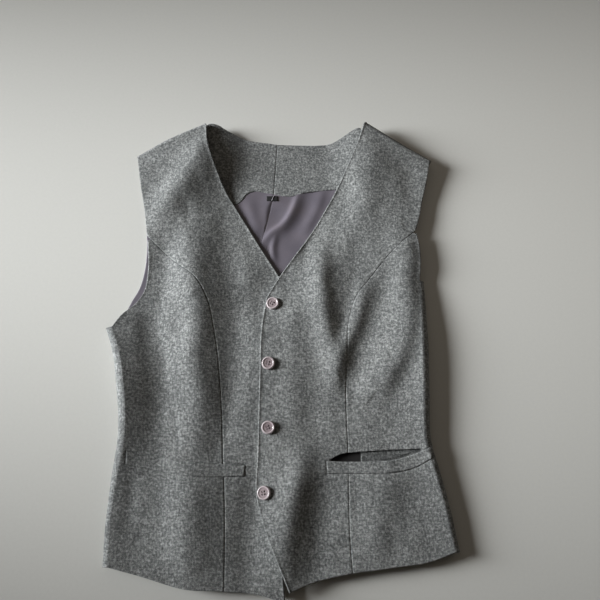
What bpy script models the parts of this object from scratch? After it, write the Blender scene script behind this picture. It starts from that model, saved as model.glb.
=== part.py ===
# A woman's four-button waistcoat in wool suiting, buttoned and laid flat on its back.
# +X is the wearer's left, +Y the neck, +Z up off the surface it lies on; metres.
# The fronts are wool panels with a princess seam each. They turn under at the sides and at the
# shoulders, where they meet a back that lies flat. Between the two the garment is hollow.
# Tables are in millimetres and MM takes them to metres.

import math

import bmesh
import bpy
import numpy as np
from mathutils import Matrix, Vector

MM = 0.001
MIDDLE_Y = -5.73       # the tables' y of the garment's middle, which stands over the origin

# Walls and clearances
WOOL = 1.8             # wool suiting with its interlining
SATIN = 1.0            # back lining
FACING = 1.4           # neck facing, wool
WELT = 1.6             # pocket welt, wool folded double and pressed
GAP = 0.3              # room between pieces at a seam
SEAM_INSET = 0.2       # each panel's edge back from its seam, measured along a row
LAY_ON = 1.1           # room under a piece that lies on a curved panel

# Heights above the surface
BACK_MID = WOOL / 2
LINING_MID = WOOL + GAP + SATIN / 2
FACING_MID = WOOL + GAP + FACING / 2
FRONT_FLOOR = 10.6     # where the fronts lie between their folds
FRONT_LEAST = 7.4      # no trough goes below this
LEAST_SOFT = 1.2       # how softly a trough comes down to it
LAP_LIFT = 2.7         # the left front passes over the right one
LAP_END = 17.0         # the right front ends west of this x
LAP_RAMP = 34.0        # and over this width the left front comes down

# Turned edges
SIDE_TURN = 12.0       # how far a front goes on below its side fold
SHOULDER_TURN = 3.0    # the same behind the shoulder
SIDE_EASE = {"right": 54.0, "left": 34.0}    # over this width a front climbs to its side fold
UNDERARM_EASE = 36.0   # and over this length above the underarm it stops climbing
SHOULDER_EASE = 26.0

# The back rises off the surface towards the neck points
NECK_RISE = {"height": 9.5, "middle_x": 10.0, "from_x": 48.0, "over_x": 50.0,
             "from_y": 140.0, "over_y": 110.0, "outer_x": 110.0, "outer_over": 75.0, "outer_loss": 0.6}

# Along the necklines the fronts sink onto the back, fully up to a y and not at all at the shoulders
NECK_SINK = {"depth": 5.8, "least_drop": 2.6, "reach": 46.0, "full_y": 160.0, "over_y": 60.0}

# Outlines of each half in plan, x and y, from the hem upwards or from the middle outwards
OUTLINES = {
    "right": {
        "front_edge": [(14, -287), (10, -240), (9, -190), (8, -60), (10, 60)],
        "neckline": [(10, 60), (-23, 113), (-48, 155), (-63, 180), (-76, 209), (-87, 239), (-91, 256),
                     (-92, 273)],
        "shoulder": [(-92, 273), (-115, 263), (-144, 249), (-179, 229)],
        "armhole_high": [(-157, 119), (-166, 165), (-171, 186), (-179, 229)],
        "armhole_low": [(-157, 119), (-155, 99), (-154, 72), (-157, 49), (-166, 34), (-180, 20)],
        "seam": [(-49, -276), (-51, -205), (-55, -145), (-61, -67), (-71, 2), (-80, 38), (-93, 62),
                 (-120, 85), (-157, 119)],
        "side_fold": [(-177, -253), (-178, -215), (-176, -171), (-172, -115), (-179, -59), (-187, -22),
                      (-197, 4)],
        "hem_centre": [(14, -287), (-16, -279), (-49, -276)],
        "hem_side": [(-49, -276), (-97, -273), (-140, -262), (-177, -253)],
        "back_armhole": [(-179, 20), (-173, 37), (-164, 56), (-160, 76), (-159, 100), (-162, 135),
                         (-168, 180)],
        "facing_line": [(-4, 180), (-15, 182), (-29, 184), (-37, 181), (-46, 169), (-60, 162), (-105, 165),
                        (-168, 180)],
        "neck_edge": [(0, 251), (-12, 253), (-37, 257), (-55, 264), (-68, 270), (-77, 275), (-84, 275.5),
                      (-87, 271)],
    },
    "left": {
        "front_edge": [(18, -277), (9, -256), (-3, -228), (-13, -201), (-18, -182), (-17.5, -138), (-17, -60),
                       (-15.5, 10), (-11, 42)],
        "neckline": [(-11, 42), (5, 69), (24, 97), (43, 126), (68, 171), (82, 199), (98, 234), (107, 256),
                     (113, 275)],
        "shoulder": [(113, 275), (153, 249), (196, 223)],
        "armhole_high": [(171, 127), (176, 142), (183, 170), (189, 191), (196, 223)],
        "armhole_low": [(171, 127), (174, 112), (175, 93), (174, 76)],
        "seam": [(84, -259), (82, -220), (82, -136), (81, -88), (83, -30), (88, 20), (97, 45), (111, 63),
                 (143, 102), (171, 127)],
        "side_fold": [(197, -239), (190, -196), (181, -156), (174, -127), (175, -73), (177, -21), (177, 62)],
        "hem_centre": [(18, -277), (43, -268), (84, -259)],
        "hem_side": [(84, -259), (134, -253), (170, -248), (197, -239)],
        "back_armhole": [(162, 78), (166, 105), (170, 130), (178, 165), (182, 180)],
        "facing_line": [(-4, 180), (8, 177.5), (22, 177.5), (36, 182), (50, 184), (100, 187), (182, 180)],
        "neck_edge": [(0, 251), (29, 250), (54, 250), (70, 252), (82, 258), (95, 266), (103, 270),
                      (107, 270)],
    },
}
SIGN = {"right": -1.0, "left": 1.0}

# The back's middle seam, from the hem to the neck; the next to last point is at the facing's edge
BACK_SEAM = [(0, -247), (0, -120), (-5, 40), (-18, 115), (-12, 140), (-4, 180), (0, 251)]

# Where a panel's rows reach the corners of its outline, as a part of its rows
ROWS = {
    "right": {"neck_corner": 0.60, "armhole_corner": 0.80, "underarm": 0.68},
    "left": {"neck_corner": 0.58, "armhole_corner": 0.80, "underarm": 0.78},
}
SIDE_TIP = 0.985       # a side panel ends just short of the point where seam and armhole meet
BACK_UNDERARM = 0.62   # the back's rows: its underarm, below the facing
FACING_START = 0.74    # and the facing's lower edge
LINING_BACK = 0.002    # the lining stops this part of the rows below the facing
BACK_NECK_CORNER = 0.6

# Facets of each piece. The rows from the hem to the underarm are the same on all that meet there
FACETS = {"side_rows": 14, "armhole_rows": 5, "high_rows": 6, "shoulder_turn_rows": 6,
          "centre_columns": 11, "side_columns": 10, "side_turn_columns": 7, "back_columns": 15,
          "facing_rows": 6, "welt_columns": 18, "welt_rows": 2, "pocket_columns": 12, "pocket_rows": 5,
          "mouth": 12, "tab_columns": 4, "tab_rows": 3}
SLOPE_STEP = 0.5       # a height's slope is measured over this much either way
PART_STEP = 1e-3       # and a surface's directions over this part of its rows and columns

# Height of the cloth's upper side at the turned edges: y and z at a side, part and z at a shoulder
SIDE_TOP = {
    "right": [(-253, 13), (-190, 13), (-115, 17), (-50, 19), (4, 15)],
    "left": [(-239, 12), (-160, 14), (-90, 16), (0, 16), (62, 11)],
}
SHOULDER_TOP = {
    "right": [(0.0, 21), (0.4, 19), (1.0, 13)],
    "left": [(0.0, 22), (0.4, 19), (1.0, 14)],
}

# The largest folds of the fronts: a line in plan, half its width and its height, less than 0 in a trough
FOLDS = [
    {"name": "right strap ridge", "line": [(-104, 242), (-114, 210), (-133, 169), (-152, 125)], "half": 20,
     "height": 6.5},
    {"name": "right armhole trough", "half": 15, "height": -3.0,
     "line": [(-137, 102), (-141, 57), (-144, 14), (-135, -34), (-133, -79), (-135, -115)]},
    {"name": "right bust ridge", "half": 22, "height": 9.5,
     "line": [(-106, 131), (-100, 63), (-94, 14), (-95, -34), (-87, -79), (-90, -129)]},
    {"name": "right bust trough", "half": 14, "height": -3.0,
     "line": [(-62, 125), (-51, 63), (-44, 14), (-44, -34), (-50, -85), (-53, -118)]},
    {"name": "right skirt ridge", "line": [(-98, -147), (-91, -186), (-89, -231), (-86, -263)], "half": 26,
     "height": 6.5},
    {"name": "right skirt trough", "line": [(-19, -155), (-22, -206), (-25, -265)], "half": 13,
     "height": -3.0},
    {"name": "left chest ridge", "line": [(56, 107), (60, 63), (55, 16), (47, -16)], "half": 15,
     "height": 4.5},
    {"name": "second chest ridge", "line": [(105, 51), (95, 14), (76, -31), (68, -62)], "half": 11,
     "height": 3.6},
    {"name": "second chest trough", "line": [(131, 56), (114, 14), (96, -34), (88, -64)], "half": 12,
     "height": -3.0},
    {"name": "left armhole ridge", "half": 18, "height": 6.5,
     "line": [(155, 115), (158, 51), (154, 8), (139, -34), (110, -82)]},
    {"name": "left neck ridge", "line": [(111, 239), (112, 182), (108, 135)], "half": 20, "height": 2.6},
    {"name": "left skirt ridge", "line": [(31, -115), (28, -155), (20, -186), (13, -226), (10, -260)],
     "half": 16, "height": 6.0},
    {"name": "left skirt trough", "line": [(57, -175), (53, -205), (47, -235), (44, -257)], "half": 14,
     "height": -2.2},
    {"name": "left hip ridge", "line": [(123, -155), (117, -196), (110, -242)], "half": 20, "height": 2.6},
]
FOLD_END = 0.45        # part of a fold's height left at its ends

# Pockets: the welt's lower and upper edge; the left mouth stands open between its welt and its lip
WELTS = {
    "right": {"low": [(-160, -149), (-122, -156), (-85, -162), (-32, -162)],
              "high": [(-160, -135), (-113, -142), (-71, -148), (-31, -150)]},
    "left": {"low": [(59, -159), (100, -159), (138, -157), (156, -152), (168, -146)],
             "high": [(58, -146), (100, -146.5), (130, -145), (154, -138.5), (170, -133)]},
}
MOUTH = {"low": [(63, -147.5), (100, -148), (130, -146.5), (162, -136)],
         "high": [(63, -144), (72, -139.5), (100, -136), (135, -134), (162, -133)],
         "cut_from": 3, "cut_to": 33}
POCKET_STRIP = {"from_x": 96, "to_x": 166, "from_y": -168, "to_y": -126, "behind": 2.6}
POCKET_BAG = {"from_x": 60, "to_x": 166, "from_y": -182, "to_y": -124, "behind": 4.2}

# Buttons: x and y on the left front
BUTTONS = [(-3, 34), (-7, -38), (-6, -110), (-9, -179)]
BUTTON = {"diameter": 15.2, "thick": 2.6, "rim": 1.7, "dish": 0.6, "dish_slope": 0.6, "crown": 0.1,
          "chamfer": 0.2, "round": 0.5, "holes": 4, "hole": 1.8, "hole_ring": 2.0, "sides": 24,
          "hole_sides": 10}

# Ribbon tab under the neck facing
TAB = {"x": -6, "y": 177.5, "wide": 14, "long": 7, "thick": 0.8}

COLOURS = {
    "wool": ((0.150, 0.155, 0.155, 1), 0.92),
    "satin": ((0.105, 0.090, 0.110, 1), 0.42),
    "button": ((0.300, 0.255, 0.270, 1), 0.38),
    "ribbon": ((0.008, 0.008, 0.009, 1), 0.75),
}


# ---- Curves and patches in plan ----

def smooth_line(points, steps=16):
    """Points along a curve through the given ones, which are joined by cubic pieces."""
    knots = np.array(points, float)
    along = np.concatenate([[0], np.cumsum(np.linalg.norm(np.diff(knots, axis=0), axis=1))])
    slopes = np.gradient(knots, along, axis=0)
    t = np.linspace(0, 1, steps, endpoint=False)[:, None]
    pieces = []
    for i, span in enumerate(np.diff(along)):
        a, b = knots[i], knots[i + 1]
        da, db = slopes[i] * span, slopes[i + 1] * span
        pieces.append(a + t * da + t**2 * (3 * (b - a) - 2 * da - db) + t**3 * (2 * (a - b) + da + db))
    return np.vstack(pieces + [knots[-1:]])


class Line:
    """A smooth plan curve, read by the part of its length."""

    def __init__(self, points, smooth=True):
        self.points = smooth_line(points) if smooth else np.array(points, float)
        steps = np.linalg.norm(np.diff(self.points, axis=0), axis=1)
        self.parts = np.concatenate([[0], np.cumsum(steps)]) / steps.sum()

    def __call__(self, part):
        return np.stack([np.interp(part, self.parts, self.points[:, k]) for k in (0, 1)], axis=-1)


def height_line(table):
    """A smooth height read from a table of place and height."""
    points = smooth_line(table)
    return lambda place: np.interp(place, points[:, 0], points[:, 1])


def joined(*runs):
    """One boundary made of several curves, each with the part of the rows where it ends."""
    def at(part):
        part = np.asarray(part, float)
        found = np.zeros(part.shape + (2,))
        start = 0.0
        for curve, end in runs:
            here = (part >= start) if start else np.ones(part.shape, bool)
            local = np.clip((part - start) / (end - start), 0, 1)
            found[here] = curve(local)[here]
            start = end
        return found
    return at


def backwards(curve):
    return lambda part: curve(1 - part)


def patch(bottom, top, left, right):
    """The plan inside four boundaries: the blend of both pairs, less the blend of the corners."""
    def at(u, v):
        a, b = u[..., None], v[..., None]
        pairs = (1 - b) * bottom(u) + b * top(u) + (1 - a) * left(v) + a * right(v)
        low = (1 - a) * bottom(np.float64(0)) + a * bottom(np.float64(1))
        high = (1 - a) * top(np.float64(0)) + a * top(np.float64(1))
        return pairs - (1 - b) * low - b * high
    return at


def ramp(t):
    """0 below 0, 1 above 1, and a smooth rise between."""
    t = np.clip(t, 0, 1)
    return t * t * (3 - 2 * t)


# ---- Heights ----

def neck_rise(x, y):
    n = NECK_RISE
    across = ramp((np.abs(x - n["middle_x"]) - n["from_x"]) / n["over_x"])
    outer = 1 - n["outer_loss"] * ramp((np.abs(x) - n["outer_x"]) / n["outer_over"])
    return n["height"] * across * outer * ramp((y - n["from_y"]) / n["over_y"])


def distance_along(x, y, line):
    """Distance to a plan line, and the part of its length where it is nearest."""
    best = np.full(np.shape(x), np.inf)
    part = np.zeros(np.shape(x))
    for i in range(len(line.points) - 1):
        a, b = line.points[i], line.points[i + 1]
        run = b - a
        t = np.clip(((x - a[0]) * run[0] + (y - a[1]) * run[1]) / (run @ run), 0, 1)
        far = np.hypot(x - a[0] - t * run[0], y - a[1] - t * run[1])
        closer = far < best
        best = np.where(closer, far, best)
        part = np.where(closer, line.parts[i] + t * (line.parts[i + 1] - line.parts[i]), part)
    return best, part


def neck_sinking(x, y):
    """1 on a neckline, less away from it and none near the shoulders."""
    near = np.minimum(*[distance_along(x, y, line)[0] for line in necklines])
    return ramp(1 - near / NECK_SINK["reach"]) * (1 - ramp((y - NECK_SINK["full_y"]) / NECK_SINK["over_y"]))


def fold_relief(x, y):
    relief = np.zeros(np.shape(x))
    for fold in FOLDS:
        far, part = distance_along(x, y, fold["curve"])
        ends = 1 - (1 - FOLD_END) * np.abs(2 * part - 1) ** 3
        relief += fold["height"] * ends * np.exp(-((far / fold["half"]) ** 2))
    return relief


class Half:
    """One side of the garment: its outlines, its turned edges and the height of its front."""

    def __init__(self, side):
        self.side = side
        self.sign = SIGN[side]
        self.lines = {name: Line(points) for name, points in OUTLINES[side].items()}
        self.rows = ROWS[side]
        fold = smooth_line(OUTLINES[side]["side_fold"])
        self.fold_x = lambda y: np.interp(y, fold[:, 1], fold[:, 0])
        self.side_top = height_line(SIDE_TOP[side])
        self.shoulder_top = height_line(SHOULDER_TOP[side])
        shoulder = np.array(OUTLINES[side]["shoulder"], float)
        run = shoulder[-1] - shoulder[0]
        self.shoulder_start = shoulder[0]
        self.shoulder_length = np.linalg.norm(run)
        self.shoulder_run = run / self.shoulder_length
        self.shoulder_out = np.array([self.shoulder_run[1], -self.shoulder_run[0]]) * -self.sign
        self.underarm_y = OUTLINES[side]["side_fold"][-1][1]
        armhole = OUTLINES[side]["armhole_low"] + [tuple(self.side_start(1.0))]
        self.lines["armhole_low"] = Line(armhole)

    def side_radius(self, y):
        return (self.side_top(y) - BACK_MID) / 2

    def side_start(self, part):
        """Where the upper side begins to turn under, by the part of the side fold's length."""
        edge = self.lines["side_fold"](part)
        return edge - self.side_radius(edge[..., 1])[..., None] * np.array([self.sign, 0.0])

    def shoulder_radius(self, part):
        edge = self.lines["shoulder"](part)
        return (self.shoulder_top(part) - BACK_MID - neck_rise(edge[..., 0], edge[..., 1])) / 2

    def shoulder_begin(self, part):
        return self.lines["shoulder"](part) - self.shoulder_radius(part)[..., None] * self.shoulder_out

    def height(self, x, y):
        """Middle of the front's wall, up to and over the round of its side fold."""
        sunk = neck_sinking(x, y)
        z = FRONT_FLOOR + neck_rise(x, y) + fold_relief(x, y) - NECK_SINK["depth"] * sunk
        least = FRONT_LEAST - NECK_SINK["least_drop"] * sunk
        z = least + np.logaddexp(0, (z - least) / LEAST_SOFT) * LEAST_SOFT
        if self.side == "left":
            z = z + LAP_LIFT * (1 - ramp((x - LAP_END) / LAP_RAMP))
        radius = self.side_radius(y)
        inboard = self.sign * (self.fold_x(y) - x) - radius
        near = ramp(1 - inboard / SIDE_EASE[self.side]) * (1 - ramp((y - self.underarm_y) / UNDERARM_EASE))
        z = z + near * (self.side_top(y) - z)
        place = np.stack([x, y], axis=-1)
        part = np.clip((place - self.shoulder_start) @ self.shoulder_run / self.shoulder_length, 0, 1)
        below = (self.shoulder_begin(part) - place) @ self.shoulder_out
        z = z + ramp(1 - below / SHOULDER_EASE) * (self.shoulder_top(part) - z)
        over = np.clip(-inboard, 0, radius) * (y < self.underarm_y)
        return z - radius + np.sqrt(radius**2 - over**2)

    def on_front(self, plan, out=0.0):
        """Points on the front's wall, moved out along its normal."""
        x, y = plan[..., 0], plan[..., 1]
        step = SLOPE_STEP
        slope_x = (self.height(x + step, y) - self.height(x - step, y)) / (2 * step)
        slope_y = (self.height(x, y + step) - self.height(x, y - step)) / (2 * step)
        normal = np.stack([-slope_x, -slope_y, np.ones(np.shape(x))], axis=-1)
        normal /= np.linalg.norm(normal, axis=-1, keepdims=True)
        return np.concatenate([plan, self.height(x, y)[..., None]], axis=-1) + normal * out


def back_points(plan, mid):
    x, y = plan[..., 0], plan[..., 1]
    return np.concatenate([plan, (mid + neck_rise(x, y))[..., None]], axis=-1)


def turn_under(start, out, radius, top, along, mid=BACK_MID):
    """A sheet that goes round a half circle from its start and then back along the back's level."""
    angle = np.clip(along / radius, 0, math.pi)
    past = np.maximum(along - math.pi * radius, 0)
    plan = start + out * (radius * np.sin(angle) - past)[..., None]
    round_z = top - radius * (1 - np.cos(angle))
    flat_z = mid + neck_rise(plan[..., 0], plan[..., 1])
    z = np.where(past > 0, flat_z, round_z)
    return np.concatenate([plan, z[..., None]], axis=-1)


# ---- Meshes ----

def material(name):
    made = bpy.data.materials.get(name)
    if made:
        return made
    made = bpy.data.materials.new(name)
    made.use_nodes = True
    shader = made.node_tree.nodes["Principled BSDF"]
    colour, rough = COLOURS[name]
    shader.inputs["Base Color"].default_value = colour
    shader.inputs["Roughness"].default_value = rough
    shader.inputs["Metallic"].default_value = 0.0
    return made


def add_object(name, mesh, finish):
    mesh.materials.append(material(finish))
    made = bpy.data.objects.new(name, mesh)
    bpy.context.collection.objects.link(made)
    made.parent = garment
    return made


def shell(name, surface, us, vs, wall, finish, keep=None):
    """A wall about a surface of two parameters, closed round the edges of the cells it keeps."""
    u, v = np.meshgrid(np.asarray(us, float), np.asarray(vs, float))
    points = surface(u, v)
    across = surface(u + PART_STEP, v) - surface(u - PART_STEP, v)
    up = surface(u, v + PART_STEP) - surface(u, v - PART_STEP)
    normal = np.cross(across, up)
    normal /= np.maximum(np.linalg.norm(normal, axis=2, keepdims=True), 1e-12)
    rows, columns = u.shape
    keep = np.ones((rows - 1, columns - 1), bool) if keep is None else keep
    half_wall = normal * wall / 2
    layers = np.vstack([(points + half_wall).reshape(-1, 3), (points - half_wall).reshape(-1, 3)])
    below = rows * columns
    faces = []
    edges = set()
    for i, j in zip(*np.nonzero(keep)):
        corner = i * columns + j
        ring = [corner, corner + 1, corner + columns + 1, corner + columns]
        for a, b, c in (ring[:3], [ring[0]] + ring[2:]):
            faces.append([a, b, c])
            faces.append([below + c, below + b, below + a])
        edges.update(zip(ring, ring[1:] + ring[:1]))
    for a, b in sorted(edges):
        if (b, a) not in edges:
            faces.append([b, a, below + a, below + b])
    mesh = bpy.data.meshes.new(name)
    used = sorted({k for face in faces for k in face})
    place = {k: n for n, k in enumerate(used)}
    mesh.from_pydata((layers[used] * MM).tolist(), [], [[place[k] for k in face] for face in faces])
    mesh.update()
    return add_object(name, mesh, finish)


def spaced(count, start=0.0, end=1.0):
    return np.linspace(start, end, count + 1)


# ---- Fronts ----

def seam_rows(half):
    """Rows along a princess seam, with one at the underarm, so that all its neighbours meet row for row."""
    underarm = half.rows["underarm"]
    return np.concatenate([spaced(FACETS["side_rows"], 0, underarm),
                           spaced(FACETS["armhole_rows"], underarm, 1)[1:]])


def front_centre(half):
    """From the front edge and neckline to the princess seam, and over the shoulder."""
    lines, rows = half.lines, half.rows
    left = joined((lines["front_edge"], rows["neck_corner"]), (lines["neckline"], 1.0))
    right = joined((lines["seam"], rows["armhole_corner"]), (lines["armhole_high"], 1.0))
    miss_left = half.shoulder_begin(np.float64(0)) - lines["neckline"](np.float64(1))
    miss_right = half.shoulder_begin(np.float64(1)) - lines["armhole_high"](np.float64(1))
    plan = patch(lines["hem_centre"], half.shoulder_begin, left, right)

    def shifted(u, v):
        """The outline's own top corners lie on the fold, so the last rows ease back to its start."""
        ease = ramp((v - rows["armhole_corner"]) / (1 - rows["armhole_corner"]))[..., None]
        a = u[..., None]
        return plan(u, v) + ease * ((1 - a) * miss_left + a * miss_right)

    def surface(u, v):
        flat = half.on_front(shifted(u, np.minimum(v, 1)))
        radius = half.shoulder_radius(u)
        along = (v - 1) * (math.pi * radius + SHOULDER_TURN)
        turned = turn_under(half.shoulder_begin(u), half.shoulder_out, radius, half.shoulder_top(u), along)
        return np.where((v > 1)[..., None], turned, flat)

    width = np.linalg.norm(lines["seam"].points[0] - lines["front_edge"].points[0])
    us = spaced(FACETS["centre_columns"], 0, 1 - SEAM_INSET / width)
    corner = rows["armhole_corner"]
    vs = np.concatenate([seam_rows(half) * corner, spaced(FACETS["high_rows"], corner, 1)[1:],
                         spaced(FACETS["shoulder_turn_rows"], 1, 2)[1:]])
    return shell("front_centre_" + half.side, surface, us, vs, WOOL, "wool")


def front_side(half):
    """From the princess seam to the side fold and under it; it narrows to the armhole above."""
    lines, rows = half.lines, half.rows
    underarm = rows["underarm"]
    tip = lines["seam"](np.float64(1))
    right = joined((half.side_start, underarm), (backwards(lines["armhole_low"]), 1.0))

    def hem(u):
        miss = half.side_start(np.float64(0)) - lines["hem_side"](np.float64(1))
        return lines["hem_side"](u) + u[..., None] * miss

    plan = patch(hem, lambda u: np.zeros(np.shape(u) + (1,)) + tip, lines["seam"], right)

    def surface(u, v):
        inside = plan(np.minimum(u, 1), v)
        inside[..., 0] += SEAM_INSET * half.sign * np.clip(1 - u, 0, 1)
        flat = half.on_front(inside)
        start = half.side_start(v / underarm)
        radius = half.side_radius(start[..., 1])
        along = (u - 1) * (math.pi * radius + SIDE_TURN)
        out = np.array([half.sign, 0.0])
        turned = turn_under(start, out, radius, half.side_top(start[..., 1]), along)
        return np.where((u > 1)[..., None], turned, flat)

    us = np.concatenate([spaced(FACETS["side_columns"]), spaced(FACETS["side_turn_columns"], 1, 2)[1:]])
    vs = seam_rows(half)
    vs[-1] = SIDE_TIP
    u_low, v_low = np.meshgrid(us[:-1], vs[:-1])
    keep = (u_low < 1 - 1e-6) | (v_low < underarm - 1e-6)
    return shell("front_side_" + half.side, surface, us, vs, WOOL, "wool", keep)


# ---- Back, lining and facing ----

def side_seam(half, part):
    """The end of the front below its side fold, where the back begins."""
    return half.side_start(part) - np.array([half.sign * (SIDE_TURN + GAP), 0.0])


def shoulder_seam(half, part):
    return half.shoulder_begin(part) - half.shoulder_out * (SHOULDER_TURN + GAP)


def straight(a, b):
    return Line([tuple(a), tuple(b)], smooth=False)


def back_plan(half):
    """A half back in plan: one patch up to the facing's lower edge and one above it."""
    outline = OUTLINES[half.side]
    seam = [(x + half.sign * GAP / 2, y) for x, y in BACK_SEAM]
    underarm = side_seam(half, np.float64(1))
    hem_end = side_seam(half, np.float64(0))
    tip = shoulder_seam(half, np.float64(1))
    split = Line([seam[-2]] + outline["facing_line"][1:])
    low_armhole = Line([tuple(underarm)] + outline["back_armhole"])
    high_armhole = Line([outline["facing_line"][-1], tuple(tip)])
    neck = Line([seam[-1]] + outline["neck_edge"][1:] + [tuple(shoulder_seam(half, np.float64(0)))])
    side = joined((lambda part: side_seam(half, part), BACK_UNDERARM), (low_armhole, 1.0))
    top = joined((neck, BACK_NECK_CORNER), (lambda part: shoulder_seam(half, part), 1.0))
    low = patch(straight(seam[0], hem_end), split, Line(seam[:-1]), side)
    high = patch(split, top, straight(seam[-2], seam[-1]), high_armhole)

    def plan(u, v):
        below = low(u, np.clip(v / FACING_START, 0, 1))
        above = high(u, np.clip((v - FACING_START) / (1 - FACING_START), 0, 1))
        return np.where((v < FACING_START)[..., None], below, above)
    return plan


def back(half):
    """The wool back, and the lining and the neck facing that lie on it, from the same rows."""
    plan = back_plan(half)
    columns = spaced(FACETS["back_columns"])
    side_rows = spaced(FACETS["side_rows"], 0, FACING_START * BACK_UNDERARM)
    armhole_rows = spaced(FACETS["armhole_rows"], FACING_START * BACK_UNDERARM, FACING_START)[1:]
    facing_rows = spaced(FACETS["facing_rows"], FACING_START, 1)
    low_rows = np.concatenate([side_rows, armhole_rows])
    lining_rows = np.concatenate([low_rows[1:-1], [FACING_START - LINING_BACK]])
    layers = [
        ("back_", np.concatenate([low_rows, facing_rows[1:]]), BACK_MID, WOOL, "wool"),
        ("back_lining_", lining_rows, LINING_MID, SATIN, "satin"),
        ("neck_facing_", facing_rows, FACING_MID, FACING, "wool"),
    ]
    for name, rows, mid, wall, finish in layers:
        def surface(u, v, mid=mid):
            return back_points(plan(u, v), mid)

        shell(name + half.side, surface, columns, rows, wall, finish)


# ---- Pockets ----

def welt(half):
    low, high = Line(WELTS[half.side]["low"]), Line(WELTS[half.side]["high"])

    def surface(u, v):
        plan = low(u) + (high(u) - low(u)) * v[..., None]
        return half.on_front(plan, WOOL / 2 + LAY_ON + WELT / 2)

    columns, rows = spaced(FACETS["welt_columns"]), spaced(FACETS["welt_rows"])
    return shell("welt_" + half.side, surface, columns, rows, WELT, "wool")


def pocket_piece(half, name, size, wall, finish):
    def surface(u, v):
        x = size["from_x"] + (size["to_x"] - size["from_x"]) * u
        y = size["from_y"] + (size["to_y"] - size["from_y"]) * v
        return half.on_front(np.stack([x, y], axis=-1), -size["behind"])

    return shell(name, surface, spaced(FACETS["pocket_columns"]), spaced(FACETS["pocket_rows"]), wall, finish)


def cut_mouth(panels):
    """The pocket's slash, cut through both panels by an upright prism of its outline."""
    low, high = Line(MOUTH["low"])(spaced(FACETS["mouth"])), Line(MOUTH["high"])(spaced(FACETS["mouth"]))
    outline = np.vstack([low, high[::-1]])
    shape = bmesh.new()
    ring = [shape.verts.new((x * MM, y * MM, MOUTH["cut_from"] * MM)) for x, y in outline]
    face = shape.faces.new(ring)
    grown = bmesh.ops.extrude_face_region(shape, geom=[face])
    lifted = [part for part in grown["geom"] if isinstance(part, bmesh.types.BMVert)]
    bmesh.ops.translate(shape, verts=lifted, vec=(0, 0, (MOUTH["cut_to"] - MOUTH["cut_from"]) * MM))
    bmesh.ops.recalc_face_normals(shape, faces=shape.faces)
    mesh = bpy.data.meshes.new("mouth_cutter")
    shape.to_mesh(mesh)
    shape.free()
    cutter = bpy.data.objects.new("mouth_cutter", mesh)
    bpy.context.collection.objects.link(cutter)
    cutter.parent = garment
    cutter.hide_render = True
    cutter.display_type = "WIRE"
    for panel in panels:
        cut = panel.modifiers.new("mouth", "BOOLEAN")
        cut.operation = "DIFFERENCE"
        cut.object = cutter


# ---- Trim ----

def turned(profile, sides):
    """A solid turned about Z from radius and height pairs, from its top middle to its underside's."""
    shape = bmesh.new()
    rings = []
    for radius, z in profile:
        angles = [2 * math.pi * k / sides for k in range(sides)] if radius else [0.0]
        places = [(radius * math.cos(a) * MM, radius * math.sin(a) * MM, z * MM) for a in angles]
        rings.append([shape.verts.new(place) for place in places])
    for above, below in zip(rings, rings[1:]):
        for k in range(sides):
            n = (k + 1) % sides
            outer = [below[k % len(below)], below[n % len(below)]]
            corners = [above[k % len(above)]] + outer + [above[n % len(above)]]
            shape.faces.new(list(dict.fromkeys(corners)))
    bmesh.ops.recalc_face_normals(shape, faces=shape.faces)
    return shape


def button(number, x, y):
    b = BUTTON
    radius, thick = b["diameter"] / 2, b["thick"]
    inside = radius - b["rim"]
    profile = [(0, thick - b["dish"]), (inside - b["dish_slope"], thick - b["dish"]),
               (inside, thick - b["crown"]), (inside + b["rim"] / 2, thick),
               (radius - b["chamfer"], thick - b["round"]), (radius, thick / 2),
               (radius - b["round"], 0), (0, 0)]
    shape = turned(profile, b["sides"])
    mesh = bpy.data.meshes.new("button_%d" % number)
    shape.to_mesh(mesh)
    shape.free()
    made = add_object("button_%d" % number, mesh, "button")

    at = np.array([x, y], float)
    foot = halves["left"].on_front(at, WOOL / 2 + LAY_ON)
    above = halves["left"].on_front(at, WOOL / 2 + LAY_ON + 1)
    normal = Vector(above - foot).normalized()
    turn = normal.to_track_quat("Z", "Y").to_matrix().to_4x4()
    made.matrix_local = Matrix.Translation(Vector(foot) * MM) @ turn

    holes = bmesh.new()
    for k in range(b["holes"]):
        angle = math.pi / 4 + k * 2 * math.pi / b["holes"]
        ring = b["hole_ring"]
        axis = Vector((ring * math.cos(angle), ring * math.sin(angle), thick / 2)) * MM
        bmesh.ops.create_cone(holes, cap_ends=True, segments=b["hole_sides"], radius1=b["hole"] / 2 * MM,
                              radius2=b["hole"] / 2 * MM, depth=2 * thick * MM,
                              matrix=Matrix.Translation(axis))
    drill_mesh = bpy.data.meshes.new("button_drill_%d" % number)
    holes.to_mesh(drill_mesh)
    holes.free()
    drill = bpy.data.objects.new("button_drill_%d" % number, drill_mesh)
    bpy.context.collection.objects.link(drill)
    drill.parent = made
    drill.hide_render = True
    drill.display_type = "WIRE"
    cut = made.modifiers.new("holes", "BOOLEAN")
    cut.operation = "DIFFERENCE"
    cut.object = drill


def neck_tab():
    t = TAB

    def surface(u, v):
        plan = np.stack([t["x"] + (u - 0.5) * t["wide"], t["y"] - t["long"] * (1 - v)], axis=-1)
        return back_points(plan, WOOL + GAP + SATIN + GAP + t["thick"] / 2)

    columns, rows = spaced(FACETS["tab_columns"]), spaced(FACETS["tab_rows"])
    return shell("neck_tab", surface, columns, rows, t["thick"], "ribbon")


# ---- The garment ----

for old in list(bpy.data.objects):
    bpy.data.objects.remove(old)

garment = bpy.data.objects.new("waistcoat", None)
garment.location = (0, -MIDDLE_Y * MM, 0)
bpy.context.collection.objects.link(garment)

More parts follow.
